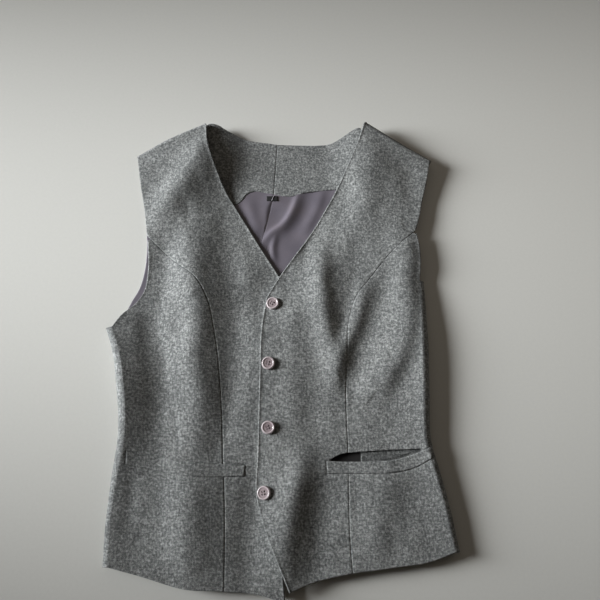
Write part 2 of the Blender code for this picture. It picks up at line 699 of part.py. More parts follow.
for fold_row in FOLDS:
    fold_row["curve"] = Line(fold_row["line"])
necklines = [Line(OUTLINES[side]["neckline"]) for side in OUTLINES]
halves = {side: Half(side) for side in OUTLINES}

panels = {}
for side, half_garment in halves.items():
    back(half_garment)
    panels[side] = [front_centre(half_garment), front_side(half_garment)]
    welt(half_garment)

cut_mouth(panels["left"])
pocket_piece(halves["left"], "pocket_facing_left", POCKET_STRIP, FACING, "wool")
pocket_piece(halves["left"], "pocket_bag_left", POCKET_BAG, SATIN, "satin")

for place, (button_x, button_y) in enumerate(BUTTONS, start=1):
    button(place, button_x, button_y)
neck_tab()
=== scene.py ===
# A woman's waistcoat in grey melange wool, buttoned and laid flat on its back.
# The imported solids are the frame. Each piece here repeats its solid's form with the finer folds,
# rolled edges, seams and stitches of the real cloth. Tables are in millimetres: +X is the wearer's
# left, +Y the neck and +Z up off the floor.
import math

import bpy
import numpy as np
from mathutils import Matrix, Vector


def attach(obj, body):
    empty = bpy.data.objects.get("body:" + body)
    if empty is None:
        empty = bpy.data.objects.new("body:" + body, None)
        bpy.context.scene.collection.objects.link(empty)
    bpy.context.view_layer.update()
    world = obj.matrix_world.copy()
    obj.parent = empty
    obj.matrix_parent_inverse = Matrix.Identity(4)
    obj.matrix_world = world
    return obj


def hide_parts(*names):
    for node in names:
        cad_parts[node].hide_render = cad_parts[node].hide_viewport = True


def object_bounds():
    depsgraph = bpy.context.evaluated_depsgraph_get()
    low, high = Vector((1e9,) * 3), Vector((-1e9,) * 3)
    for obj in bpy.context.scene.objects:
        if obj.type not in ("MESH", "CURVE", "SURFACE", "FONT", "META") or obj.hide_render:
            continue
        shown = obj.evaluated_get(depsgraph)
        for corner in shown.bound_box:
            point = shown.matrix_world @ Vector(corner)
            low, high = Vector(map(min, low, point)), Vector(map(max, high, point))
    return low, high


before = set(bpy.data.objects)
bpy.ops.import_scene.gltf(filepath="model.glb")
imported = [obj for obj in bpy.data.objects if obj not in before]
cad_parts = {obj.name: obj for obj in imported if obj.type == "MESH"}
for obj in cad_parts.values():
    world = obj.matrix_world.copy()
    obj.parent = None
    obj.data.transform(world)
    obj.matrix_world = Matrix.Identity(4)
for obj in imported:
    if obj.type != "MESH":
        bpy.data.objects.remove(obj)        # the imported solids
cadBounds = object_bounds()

print("frame loaded:", len(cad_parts), "nodes")
millimetre = 0.001
middleY = -5.73          # the tables' y of the garment's middle, which stands over the origin

# camera, lights and floor
middle = (cadBounds[0] + cadBounds[1]) / 2
view = dict(aim=(0.029, 0.0475), distance=0.724, tilt=17.0, lens=36.12, sensor=36.0)
lights = dict(
    key=dict(at=(-1.75, 0.26, 0.56), aim=(-0.16, 0.115, 0.0), size=(0.70, 1.0), spread=38, power=7.6,
             colour=(0.96, 0.985, 1.0)),
    fill=dict(at=(-0.5, 0.9, 1.3), aim=(0.0, 0.15, 0.0), size=(1.4, 1.4), spread=180, power=0.95,
              colour=(1.0, 0.89, 0.76)),
    bounce=dict(at=(0.80, 0.34, 0.50), aim=(0.18, 0.10, 0.0), size=(0.4, 0.4), spread=90, power=0.15,
                colour=(1.0, 0.90, 0.78)),
)
surround = dict(colour=(1.0, 0.88, 0.74), strength=0.045)
floor = dict(side=6.0, colour=(0.60, 0.595, 0.565))

# walls and levels, as in the solids
cloth = dict(wool=1.8, satin=1.0, facing=1.4, gap=0.3)
levels = dict(rest=0.02, back=0.9, lining=2.6, facing=3.5, front=10.6, least=7.4, soft=1.2, lap=2.7,
              lapEnd=17.0, lapRamp=34.0)
turns = dict(side=12.0, shoulder=3.0, underarmEase=36.0, shoulderEase=26.0, easePower=1.8)
neckLift = dict(height=9.5, middleX=10.0, fromX=48.0, overX=50.0, fromY=140.0, overY=110.0,
                outerX=110.0, outerOver=75.0, outerLoss=0.6)
# along the necklines the fronts sink onto the back
neckSink = dict(depth=5.8, leastDrop=2.6, reach=46.0, fullY=160.0, overY=60.0)

# outlines of each half in plan, from the hem upwards or from the middle outwards
outlines = dict(
    right=dict(
        sign=-1.0,
        frontEdge=[(14, -287), (10, -240), (9, -190), (8, -60), (10, 60)],
        neckline=[(10, 60), (-23, 113), (-48, 155), (-63, 180), (-76, 209), (-87, 239), (-91, 256),
                  (-92, 273)],
        shoulder=[(-92, 273), (-115, 263), (-144, 249), (-179, 229)],
        armholeHigh=[(-157, 119), (-166, 165), (-171, 186), (-179, 229)],
        armholeLow=[(-157, 119), (-155, 99), (-154, 72), (-157, 49), (-166, 34), (-180, 20)],
        seam=[(-49, -276), (-51, -205), (-55, -145), (-61, -67), (-71, 2), (-80, 38), (-93, 62),
              (-120, 85), (-157, 119)],
        sideFold=[(-177, -253), (-178, -215), (-176, -171), (-172, -115), (-179, -59), (-187, -22),
                  (-197, 4)],
        hemCentre=[(14, -287), (-16, -279), (-49, -276)],
        hemSide=[(-49, -276), (-97, -273), (-140, -262), (-177, -253)],
        backArmhole=[(-179, 20), (-173, 37), (-164, 56), (-160, 76), (-159, 100), (-162, 135), (-168, 180)],
        facingLine=[(-4, 180), (-15, 182), (-29, 184), (-37, 181), (-46, 169), (-60, 162), (-105, 165),
                    (-168, 180)],
        neckEdge=[(0, 251), (-12, 253), (-37, 257), (-55, 264), (-68, 270), (-77, 275), (-84, 276.5),
                  (-91, 274.5)],
        sideEase=54.0,
        sideTop=[(-253, 13), (-190, 14), (-115, 19), (-50, 20.5), (4, 16)],
        shoulderTop=[(0.0, 21), (0.4, 19), (1.0, 13)],
        rows=dict(neckCorner=0.60, armholeCorner=0.80, underarm=0.68),
    ),
    left=dict(
        sign=1.0,
        frontEdge=[(18, -277), (9, -256), (-3, -228), (-13, -201), (-18, -182), (-17.5, -138), (-17, -60),
                   (-15.5, 10), (-11, 42)],
        neckline=[(-11, 42), (5, 69), (24, 97), (43, 126), (68, 171), (82, 199), (98, 234), (107, 256),
                  (113, 275)],
        shoulder=[(113, 275), (153, 249), (196, 223)],
        armholeHigh=[(171, 127), (176, 142), (183, 170), (189, 191), (196, 223)],
        armholeLow=[(171, 127), (174, 112), (175, 93), (174, 76)],
        seam=[(84, -259), (82, -220), (82, -136), (81, -88), (83, -30), (88, 20), (97, 45), (111, 63),
              (143, 102), (171, 127)],
        sideFold=[(197, -239), (190, -196), (181, -156), (174, -127), (175, -73), (177, -21), (177, 62)],
        hemCentre=[(18, -277), (43, -268), (84, -259)],
        hemSide=[(84, -259), (134, -253), (170, -248), (197, -239)],
        backArmhole=[(162, 78), (166, 105), (170, 130), (178, 165), (182, 180)],
        facingLine=[(-4, 180), (8, 177.5), (22, 177.5), (36, 182), (50, 184), (100, 187), (182, 180)],
        neckEdge=[(0, 251), (29, 250), (54, 250), (70, 252), (82, 258), (95, 266), (103, 270), (107, 270)],
        sideEase=34.0,
        sideTop=[(-239, 12), (-160, 14), (-90, 16), (0, 16), (62, 11)],
        shoulderTop=[(0.0, 22), (0.4, 19), (1.0, 14)],
        rows=dict(neckCorner=0.58, armholeCorner=0.80, underarm=0.78),
    ),
)

# folds of the fronts: a line down the cloth, its height (less than 0 in a trough) and how far it
# reaches to the west and to the east of the line
folds = [
    dict(name="right strap ridge", west=17, east=23, height=7.5,
         line=[(-92, 245), (-103, 214), (-130, 172), (-151, 125)]),
    dict(name="right armhole trough", west=16, east=13, height=-5.0,
         line=[(-137, 102), (-141, 57), (-144, 14), (-135, -34), (-133, -79), (-135, -115)]),
    dict(name="right bust ridge", west=21, east=24, height=9.5,
         line=[(-106, 131), (-100, 63), (-94, 14), (-95, -34), (-87, -70), (-88, -112)]),
    dict(name="right bust trough", west=15, east=12, height=-3.4,
         line=[(-62, 125), (-51, 63), (-44, 14), (-44, -34), (-50, -85), (-53, -118)]),
    dict(name="right skirt ridge", west=22, east=31, height=7.5,
         line=[(-98, -147), (-91, -186), (-89, -231), (-86, -263)]),
    dict(name="right skirt trough", west=14, east=12, height=-3.6,
         line=[(-19, -155), (-22, -206), (-25, -265)]),
    dict(name="right hip crease", west=8, east=8, height=-2.5,
         line=[(-155, -159), (-154, -186), (-157, -216)]),
    dict(name="left chest ridge", west=17, east=13, height=6.2,
         line=[(52, 107), (54, 63), (58, 14), (70, -36)]),
    dict(name="left chest trough", west=11, east=9, height=-1.6,
         line=[(97, 102), (92, 57), (81, 16), (66, -22)]),
    dict(name="second chest ridge", west=11, east=10, height=2.8,
         line=[(105, 51), (95, 14), (76, -31), (68, -62)]),
    dict(name="second chest trough", west=12, east=12, height=-3.0,
         line=[(131, 56), (114, 14), (96, -34), (88, -64)]),
    dict(name="left armhole ridge", west=20, east=15, height=7.0,
         line=[(157, 115), (162, 51), (158, 8), (143, -30), (120, -62)]),
    dict(name="left neck ridge", west=17, east=22, height=2.6,
         line=[(111, 239), (112, 182), (108, 135)]),
    dict(name="left strap trough", west=14, east=14, height=-1.6,
         line=[(168, 213), (171, 162)]),
    dict(name="left skirt ridge", west=16, east=17, height=6.0,
         line=[(34, -142), (28, -162), (20, -188), (13, -226), (10, -260)]),
    dict(name="left skirt trough", west=14, east=13, height=-2.2,
         line=[(57, -175), (53, -205), (47, -235), (44, -257)]),
    dict(name="left hip ridge", west=20, east=20, height=2.6,
         line=[(123, -155), (117, -196), (110, -242)]),
]
foldEnd = 0.45           # part of a fold's height left at its ends
slopeStep = 0.5          # a front's slope is measured over this much either way

# small unevenness of the wool: size along x and y, and height
wrinkles = [
    dict(size=(21, 46), height=0.34),
    dict(size=(9, 15), height=0.12),
    dict(size=(4.2, 4.8), height=0.035),
]


def smoothLine(points, steps=8):
    # a curve through the points: on each span the cubic that keeps both ends' places and slopes
    knots = np.array(points, float)
    along = np.concatenate([[0], np.cumsum(np.linalg.norm(np.diff(knots, axis=0), axis=1))])
    slopes = np.gradient(knots, along, axis=0)
    t = np.linspace(0, 1, steps, endpoint=False)[:, None]
    pieces = []
    for i, span in enumerate(np.diff(along)):
        a, b = knots[i], knots[i + 1]
        da, db = slopes[i] * span, slopes[i + 1] * span
        pieces.append(a + t * da + t**2 * (3 * (b - a) - 2 * da - db) + t**3 * (2 * (a - b) + da + db))
    return np.vstack(pieces + [knots[-1:]])


class Line:
    # a plan curve, read by the part of its length
    def __init__(self, points, smooth=True, steps=16):
        self.points = smoothLine(points, steps) if smooth else np.array(points, float)
        lengths = np.linalg.norm(np.diff(self.points, axis=0), axis=1)
        self.length = lengths.sum()
        self.parts = np.concatenate([[0], np.cumsum(lengths)]) / self.length

    def __call__(self, part):
        return np.stack([np.interp(part, self.parts, self.points[:, k]) for k in (0, 1)], axis=-1)

    def yAt(self, x):
        order = np.argsort(self.points[:, 0])
        return np.interp(x, self.points[order, 0], self.points[order, 1])


def heightLine(table):
    points = smoothLine(table)
    return lambda place: np.interp(place, points[:, 0], points[:, 1])


def joined(*runs):
    # several curves one after another, each given with the part of the rows where it ends
    def at(part):
        part = np.asarray(part, float)
        found = np.zeros(part.shape + (2,))
        start = 0.0
        for curve, end in runs:
            here = (part >= start) if start else np.ones(part.shape, bool)
            local = np.clip((part - start) / (end - start), 0, 1)
            found[here] = curve(local)[here]
            start = end
        return found
    return at


def backwards(curve):
    return lambda part: curve(1 - part)


def patch(low, high, left, right):
    # inside four boundaries: the blend of both pairs, less the blend of the four corners
    def at(u, v):
        a, b = u[..., None], v[..., None]
        pairs = (1 - b) * low(u) + b * high(u) + (1 - a) * left(v) + a * right(v)
        lowCorners = (1 - a) * low(np.float64(0)) + a * low(np.float64(1))
        highCorners = (1 - a) * high(np.float64(0)) + a * high(np.float64(1))
        return pairs - (1 - b) * lowCorners - b * highCorners
    return at


def ramp(t):
    # 0 below 0, 1 above 1 and a smooth rise between
    t = np.clip(t, 0, 1)
    return t * t * (3 - 2 * t)


def bell(t):
    # 1 at 0, falling smoothly to both sides
    return np.exp(-t * t)


def softNoise(x, y, size, seed):
    # smooth unevenness about 0: random heights on a lattice of this size, blended between its points
    side = 160
    lattice = np.random.default_rng(seed).standard_normal((side, side))
    gridX, gridY = x / size[0] + side / 2, y / size[1] + side / 2
    column, row = np.floor(gridX).astype(int), np.floor(gridY).astype(int)
    a, b = ramp(gridX - column), ramp(gridY - row)
    column, row = column % (side - 1), row % (side - 1)
    low = (1 - a) * lattice[row, column] + a * lattice[row, column + 1]
    high = (1 - a) * lattice[row + 1, column] + a * lattice[row + 1, column + 1]
    return (1 - b) * low + b * high


def neckRise(x, y):
    # the back rises off the floor towards the neck points
    n = neckLift
    across = ramp((np.abs(x - n["middleX"]) - n["fromX"]) / n["overX"])
    outer = 1 - n["outerLoss"] * ramp((np.abs(x) - n["outerX"]) / n["outerOver"])
    return n["height"] * across * outer * ramp((y - n["fromY"]) / n["overY"])


def distanceAlong(x, y, line):
    # distance to a plan line, less than 0 to its west, and the part of its length where it is nearest
    best = np.full(np.shape(x), np.inf)
    signed = np.zeros(np.shape(x))
    part = np.zeros(np.shape(x))
    for i in range(len(line.points) - 1):
        a, b = line.points[i], line.points[i + 1]
        run = b - a
        t = np.clip(((x - a[0]) * run[0] + (y - a[1]) * run[1]) / (run @ run), 0, 1)
        far = np.hypot(x - a[0] - t * run[0], y - a[1] - t * run[1])
        closer = far < best
        side = np.sign(run[0] * (y - a[1]) - run[1] * (x - a[0]))
        best = np.where(closer, far, best)
        signed = np.where(closer, far * side, signed)
        part = np.where(closer, line.parts[i] + t * (line.parts[i + 1] - line.parts[i]), part)
    return signed, part


def foldRelief(x, y, table):
    # the sum of the folds: each is its height times a bell across its line, less towards its ends
    relief = np.zeros(np.shape(x))
    for fold in table:
        signed, part = distanceAlong(x, y, fold["curve"])
        reach = np.where(signed < 0, fold["west"], fold["east"])
        ends = 1 - (1 - foldEnd) * np.abs(2 * part - 1) ** 3
        relief += fold["height"] * ends * bell(signed / reach)
    return relief


def neckSinking(x, y):
    # 1 on a neckline, less away from it and none near the shoulders
    near = np.minimum(*[np.abs(distanceAlong(x, y, line)[0]) for line in necklines])
    return ramp(1 - near / neckSink["reach"]) * (1 - ramp((y - neckSink["fullY"]) / neckSink["overY"]))


def wrinkleRelief(x, y, seed):
    return sum(w["height"] * softNoise(x, y, w["size"], seed + n) for n, w in enumerate(wrinkles))


for foldRow in folds:
    foldRow["curve"] = Line(foldRow["line"], steps=6)
necklines = [Line(outlines[side]["neckline"], steps=4) for side in outlines]

# the welts: the cut of each, how the front is pressed under them, their lower and upper edges, and the
# left pocket's open mouth
weltCut = dict(width=13.0, step=0.9, wall=1.2, above=0.7, dip=0.95, past=1.5,
               flat=dict(right=(0.130, 0.028, 0.0021), left=(0.113, 0.026, 0.0016)))
welts = dict(
    right=dict(low=Line([(-160, -149), (-122, -156), (-85, -162), (-32, -162)]),
               high=Line([(-160, -135), (-113, -142), (-71, -148), (-31, -150)])),
    left=dict(low=Line([(59, -159), (100, -159), (138, -157), (156, -152), (172, -143.5)]),
              high=Line([(58, -146), (100, -146.5), (130, -145), (154, -138.5), (174, -130.5)])),
)
mouth = dict(low=Line([(63, -147.5), (100, -148), (130, -146.5), (162, -136)]),
             high=Line([(63, -144), (72, -139.5), (100, -136), (135, -134), (162, -133)]), fromX=63, toX=162)


class Half:
    # one side of the garment: its outlines, its turned edges and the height of its front
    def __init__(self, side):
        self.side = side
        outline = outlines[side]
        self.outline = outline
        self.sign = outline["sign"]
        self.rows = outline["rows"]
        curves = ("frontEdge", "neckline", "shoulder", "armholeHigh", "armholeLow", "seam", "sideFold",
                  "hemCentre", "hemSide")
        self.lines = {name: Line(outline[name]) for name in curves}
        fold = smoothLine(outline["sideFold"])
        self.foldX = lambda y: np.interp(y, fold[:, 1], fold[:, 0])
        self.sideTop = heightLine(outline["sideTop"])
        self.shoulderTop = heightLine(outline["shoulderTop"])
        self.shoulderStart = np.array(outline["shoulder"][0], float)
        run = np.array(outline["shoulder"][-1], float) - self.shoulderStart
        self.shoulderLength = np.linalg.norm(run)
        self.shoulderRun = run / self.shoulderLength
        self.shoulderOut = np.array([self.shoulderRun[1], -self.shoulderRun[0]]) * -self.sign
        self.underarmY = outline["sideFold"][-1][1]
        self.lines["armholeLow"] = Line(outline["armholeLow"] + [tuple(self.sideStart(1.0))])
        self.welt = welts[side]
        self.weltEnds = (self.welt["high"].points[0][0], self.welt["high"].points[-1][0])

    def sideRadius(self, y):
        return (self.sideTop(y) - levels["back"]) / 2

    def sideStart(self, part):
        # where the upper side begins to turn under
        edge = self.lines["sideFold"](part)
        return edge - np.stack([self.sign * self.sideRadius(edge[..., 1]), 0 * edge[..., 1]], axis=-1)

    def shoulderRadius(self, part):
        edge = self.lines["shoulder"](part)
        return (self.shoulderTop(part) - levels["back"] - neckRise(edge[..., 0], edge[..., 1])) / 2

    def shoulderBegin(self, part):
        return self.lines["shoulder"](part) - self.shoulderRadius(part)[..., None] * self.shoulderOut

    def height(self, x, y):
        # middle of the front's wall: its level, the neck's rise and the folds, kept over a least height,
        # then eased to the side fold's and the shoulder's heights and rounded over the side fold
        sunk = neckSinking(x, y)
        z = levels["front"] + neckRise(x, y) + foldRelief(x, y, folds) - neckSink["depth"] * sunk
        least = levels["least"] - neckSink["leastDrop"] * sunk
        z = least + np.logaddexp(0, (z - least) / levels["soft"]) * levels["soft"]
        if self.side == "left":
            z = z + levels["lap"] * (1 - ramp((x - levels["lapEnd"]) / levels["lapRamp"]))
        z = z + wrinkleRelief(x, y, 11 if self.side == "left" else 47)
        radius = self.sideRadius(y)
        inboard = self.sign * (self.foldX(y) - x) - radius
        ease = self.outline["sideEase"]
        near = np.clip(1 - inboard / ease, 0, 1) ** turns["easePower"]
        near = near * (1 - ramp((y - self.underarmY) / turns["underarmEase"]))
        z = z + near * (self.sideTop(y) - z)
        startX, startY = self.shoulderStart
        along = (x - startX) * self.shoulderRun[0] + (y - startY) * self.shoulderRun[1]
        part = np.clip(along / self.shoulderLength, 0, 1)
        begin = self.shoulderBegin(part)
        below = (begin[..., 0] - x) * self.shoulderOut[0] + (begin[..., 1] - y) * self.shoulderOut[1]
        z = z + ramp(1 - below / turns["shoulderEase"]) * (self.shoulderTop(part) - z)
        over = np.clip(-inboard, 0, radius) * (y < self.underarmY)
        return z - radius + np.sqrt(radius**2 - over**2)

    def weltDip(self, x, y):
        # the front is pressed down under its welt and a little past the welt's edges
        low, high = self.welt["low"].yAt(x), self.welt["high"].yAt(x)
        first, last = min(self.weltEnds), max(self.weltEnds)
        past = weltCut["past"]
        across = ramp((x - first + past) / past) * ramp((last + past - x) / past)
        return weltCut["dip"] * across * ramp((y - low + past) / past) * ramp((high + past - y) / past)

    def onFront(self, plan, out=0.0):
        # points on the front's wall, moved out along its normal
        x, y = plan[..., 0], plan[..., 1]
        onWall = np.concatenate([plan, self.height(x, y)[..., None]], axis=-1)
        slopeX = (self.height(x + slopeStep, y) - self.height(x - slopeStep, y)) / (2 * slopeStep)
        slopeY = (self.height(x, y + slopeStep) - self.height(x, y - slopeStep)) / (2 * slopeStep)
        normal = np.stack([-slopeX, -slopeY, np.ones(np.shape(x))], axis=-1)
        normal /= np.linalg.norm(normal, axis=-1, keepdims=True)
        return onWall + normal * np.asarray(out)[..., None]


def turnUnder(start, out, radius, top, along, mid):
    # a sheet that goes round a half circle from its start, then back along the back's level
    angle = np.clip(along / radius, 0, math.pi)
    past = np.maximum(along - math.pi * radius, 0)
    plan = start + out * (radius * np.sin(angle) - past)[..., None]
    roundZ = top - radius * (1 - np.cos(angle))
    flatZ = mid + neckRise(plan[..., 0], plan[..., 1])
    return np.concatenate([plan, np.where(past > 0, flatZ, roundZ)[..., None]], axis=-1)


# meshes

nearEdge = np.array([0.0, 0.18, 0.45, 0.8, 1.25, 1.9, 2.8])


def spread(length, step, low=True, high=True):
    # parts of a length: even steps, with finer ones near the ends that show an edge
    start = nearEdge if low else nearEdge[:1]
    end = length - nearEdge[::-1] if high else np.array([length])
    count = max(2, int(round((end[0] - start[-1]) / step)))
    between = np.linspace(start[-1], end[0], count + 1)[1:-1]
    return np.concatenate([start, between, end]) / length


def grainOf(middle):
    # the cloth's own coordinates: lengths run along the rows and up the columns
    across = np.hypot(np.diff(middle[..., 0], axis=1), np.diff(middle[..., 2], axis=1))
    up = np.hypot(np.diff(middle[..., 1], axis=0), np.diff(middle[..., 2], axis=0))
    u = np.pad(np.cumsum(across, axis=1), ((0, 0), (1, 0))) + middle[:, :1, 0]
    v = np.pad(np.cumsum(up, axis=0), ((1, 0), (0, 0))) + middle[:1, :, 1]
    return np.stack([u, v], axis=-1)


def edgeDistances(middle, keep):
    # distance of each point from the four edges of the cells that are kept, along its row or column
    rowKept = np.pad(keep, ((1, 0), (0, 0))) | np.pad(keep, ((0, 1), (0, 0)))
    columnKept = np.pad(keep, ((0, 0), (1, 0))) | np.pad(keep, ((0, 0), (0, 1)))
    across = np.linalg.norm(np.diff(middle, axis=1), axis=2) * rowKept
    up = np.linalg.norm(np.diff(middle, axis=0), axis=2) * columnKept
    left = np.pad(np.cumsum(across, axis=1), ((0, 0), (1, 0)))
    low = np.pad(np.cumsum(up, axis=0), ((1, 0), (0, 0)))
    return dict(left=left, right=left[:, -1:] - left, low=low, high=low[-1:] - low)


edgeShapes = dict(
    free=dict(radius=1.15, swell=0.35, over=6.0),
    rolled=dict(radius=1.5, swell=0.95, over=3.6),
    lip=dict(radius=0.9),
    seam=dict(depth=0.5, width=0.7),
)


def wallPart(distances, edges, lip=None):
    # the wall's thickness as a part of its full one: a free edge swells a little and then rounds off,
    # a seam's edge sinks into a groove
    part = np.ones(distances["left"].shape)
    for name, kind in edges.items():
        far, shape = distances[name], edgeShapes[kind]
        if kind == "seam":
            part *= 1 - shape["depth"] * bell(far / shape["width"])
        else:
            part *= roundedOff(far, shape["radius"]) * (1 + shape["swell"] * ramp(1 - far / shape["over"]))
    if lip is not None:
        part *= roundedOff(lip, edgeShapes["lip"]["radius"])
    return part


def roundedOff(far, radius):
    # a quarter circle: nearly nothing at the edge and the full wall a radius away
    near = np.clip(far / radius, 0, 1)
    return np.sqrt(np.maximum(1 - (1 - near) ** 2, 0.02))


def shell(name, middle, wall, edges, keep=None, lip=None):
    # a closed wall about a grid of points: both sides moved out along the normals, joined at the edges.
    # keep says which cells are cloth and lip is each point's distance from a cut inside it
    if middle[0, -1, 0] < middle[0, 0, 0]:
        middle = middle[:, ::-1]
        keep = None if keep is None else keep[:, ::-1]
        lip = None if lip is None else lip[:, ::-1]
        swap = dict(left="right", right="left")
        edges = {swap.get(edge, edge): kind for edge, kind in edges.items()}
    rows, columns = middle.shape[:2]
    keep = np.ones((rows - 1, columns - 1), bool) if keep is None else keep
    cell = np.cross(middle[1:, 1:] - middle[:-1, :-1], middle[1:, :-1] - middle[:-1, 1:]) * keep[..., None]
    normal = np.pad(cell, ((1, 0), (1, 0), (0, 0))) + np.pad(cell, ((1, 0), (0, 1), (0, 0)))
    normal = normal + np.pad(cell, ((0, 1), (1, 0), (0, 0))) + np.pad(cell, ((0, 1), (0, 1), (0, 0)))
    normal /= np.maximum(np.linalg.norm(normal, axis=2, keepdims=True), 1e-9)
    half = (wall / 2 * wallPart(edgeDistances(middle, keep), edges, lip))[..., None]
    upper, lower = middle + normal * half, middle - normal * half
    points = np.concatenate([upper.reshape(-1, 3), lower.reshape(-1, 3)])
    points[:, 2] = np.maximum(points[:, 2], levels["rest"])    # flat where it rests on the floor
    grain = np.tile(grainOf(middle).reshape(-1, 2), (2, 1))
    corner = np.arange(rows * columns).reshape(rows, columns)
    ring = np.stack([corner[:-1, :-1], corner[:-1, 1:], corner[1:, 1:], corner[1:, :-1]], axis=-1)
    below = rows * columns
    faces = [ring[keep], ring[keep][:, ::-1] + below]
    padded = np.pad(keep, 1)
    beside = [padded[:-2, 1:-1], padded[1:-1, 2:], padded[2:, 1:-1], padded[1:-1, :-2]]
    for k, neighbour in enumerate(beside):
        a, b = ring[..., k][keep & ~neighbour], ring[..., (k + 1) % 4][keep & ~neighbour]
        faces.append(np.stack([b, a, a + below, b + below], axis=-1))
    return meshPiece(name, points, np.concatenate(faces), grain)


def meshPiece(name, points, faces, grain=None):
    # an object at the origin from points in millimetres and four-sided faces
    used, faces = np.unique(faces, return_inverse=True)
    faces = faces.reshape(-1, 4)
    mesh = bpy.data.meshes.new(name)
    placed = (points[used] - (0, middleY, 0)) * millimetre
    mesh.from_pydata(placed.tolist(), [], faces.tolist())
    if grain is not None:
        layer = mesh.uv_layers.new(name="grain")
        layer.data.foreach_set("uv", (grain[used][faces.ravel()] * millimetre).ravel())
    mesh.shade_smooth()
    made = bpy.data.objects.new(name, mesh)
    bpy.context.collection.objects.link(made)
    return made


def finishPiece(piece, slotName, node, material=None):
    # every piece lies still on the one body and takes its node's place, and its slot's material or another
    piece.data.materials.append(material or materials[slotName])
    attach(piece, "root")
    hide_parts(node)
    return piece


def finishCloth(piece, slotName, node, material=None):
    # a piece of cloth, finished as any other piece
    finishPiece(piece, slotName, node, material)


# shaders

class Wire:
    # one socket of a material: sums and products on it add Math nodes
    def __init__(self, paint, socket):
        self.paint = paint
        self.socket = socket

    def maths(self, operation, first, second):
        return self.paint.node("ShaderNodeMath", {"operation": operation}, {0: first, 1: second})

    def __add__(self, other):
        return self.maths("ADD", self, other)

    def __radd__(self, other):
        return self.maths("ADD", other, self)

    def __sub__(self, other):
        return self.maths("SUBTRACT", self, other)

    def __rsub__(self, other):
        return self.maths("SUBTRACT", other, self)

    def __mul__(self, other):
        return self.maths("MULTIPLY", self, other)

    def __rmul__(self, other):
        return self.maths("MULTIPLY", other, self)

    def __pow__(self, other):
        return self.maths("POWER", self, other)


class Paint:
    # a material with one Principled shader; constants go straight to the shader's sockets
    def __init__(self, name, **constants):
        self.material = bpy.data.materials.new(name)
        self.material.use_nodes = True
        self.tree = self.material.node_tree
        self.shader = self.tree.nodes["Principled BSDF"]
        for socketName, value in constants.items():
            self.shader.inputs[socketName.replace("_", " ")].default_value = value

    def node(self, kind, settings=None, values=None, out=0):
        # settings come first, such as an operation or a ramp's stops, and then each socket's value or wire
        made = self.tree.nodes.new(kind)
        for key, value in (settings or {}).items():
            if key == "stops":
                ends = made.color_ramp.elements
                while len(ends) < len(value):
                    ends.new(0.5)
                for stop, (place, colour) in zip(ends, value):
                    stop.position = place
                    stop.color = (*colour, 1)
            else:
                setattr(made, key, value)
        for key, value in (values or {}).items():
            if isinstance(value, Wire):
                self.tree.links.new(value.socket, made.inputs[key])
            else:
                made.inputs[key].default_value = value
        return Wire(self, made.outputs[out])

    def noise(self, place, scale, detail=2.0, roughness=0.5):
        return self.node("ShaderNodeTexNoise", {}, {"Vector": place, "Scale": scale, "Detail": detail,
                                                    "Roughness": roughness})

    def stretched(self, place, scale):
        # the place with each of its numbers multiplied
        return self.node("ShaderNodeMapping", {"vector_type": "POINT"}, {"Vector": place, "Scale": scale})

    def mix(self, factor, first, second, blend="MIX"):
        settings = {"data_type": "RGBA", "blend_type": blend}
        return self.node("ShaderNodeMix", settings, {0: factor, 6: first, 7: second}, out=2)

    def bump(self, height, distance, strength=1.0):
        return self.node("ShaderNodeBump", {}, {"Height": height, "Distance": distance, "Strength": strength})

    def feed(self, **wires):
        for socketName, wire in wires.items():
            self.tree.links.new(wire.socket, self.shader.inputs[socketName.replace("_", " ")])


# lengths in millimetres: the size of the speckle and of the slubs, and the spacing of the weave
wool = dict(
    dark=(0.032, 0.033, 0.033), body=(0.146, 0.151, 0.150), light=(0.48, 0.49, 0.48),
    fibre=2.5, fineFibre=2.6, slubLong=7.5, slubWide=1.5, weave=1.05, relief=0.48, cloud=26.0,
    tone=dict(speckle=1.15, fine=0.55, upright=0.5, level=0.42, cloudy=0.25),
    nap=dict(weave=0.16, speckle=0.8, fine=0.4, upright=0.3),
)
perMetre = 1000.0        # millimetres


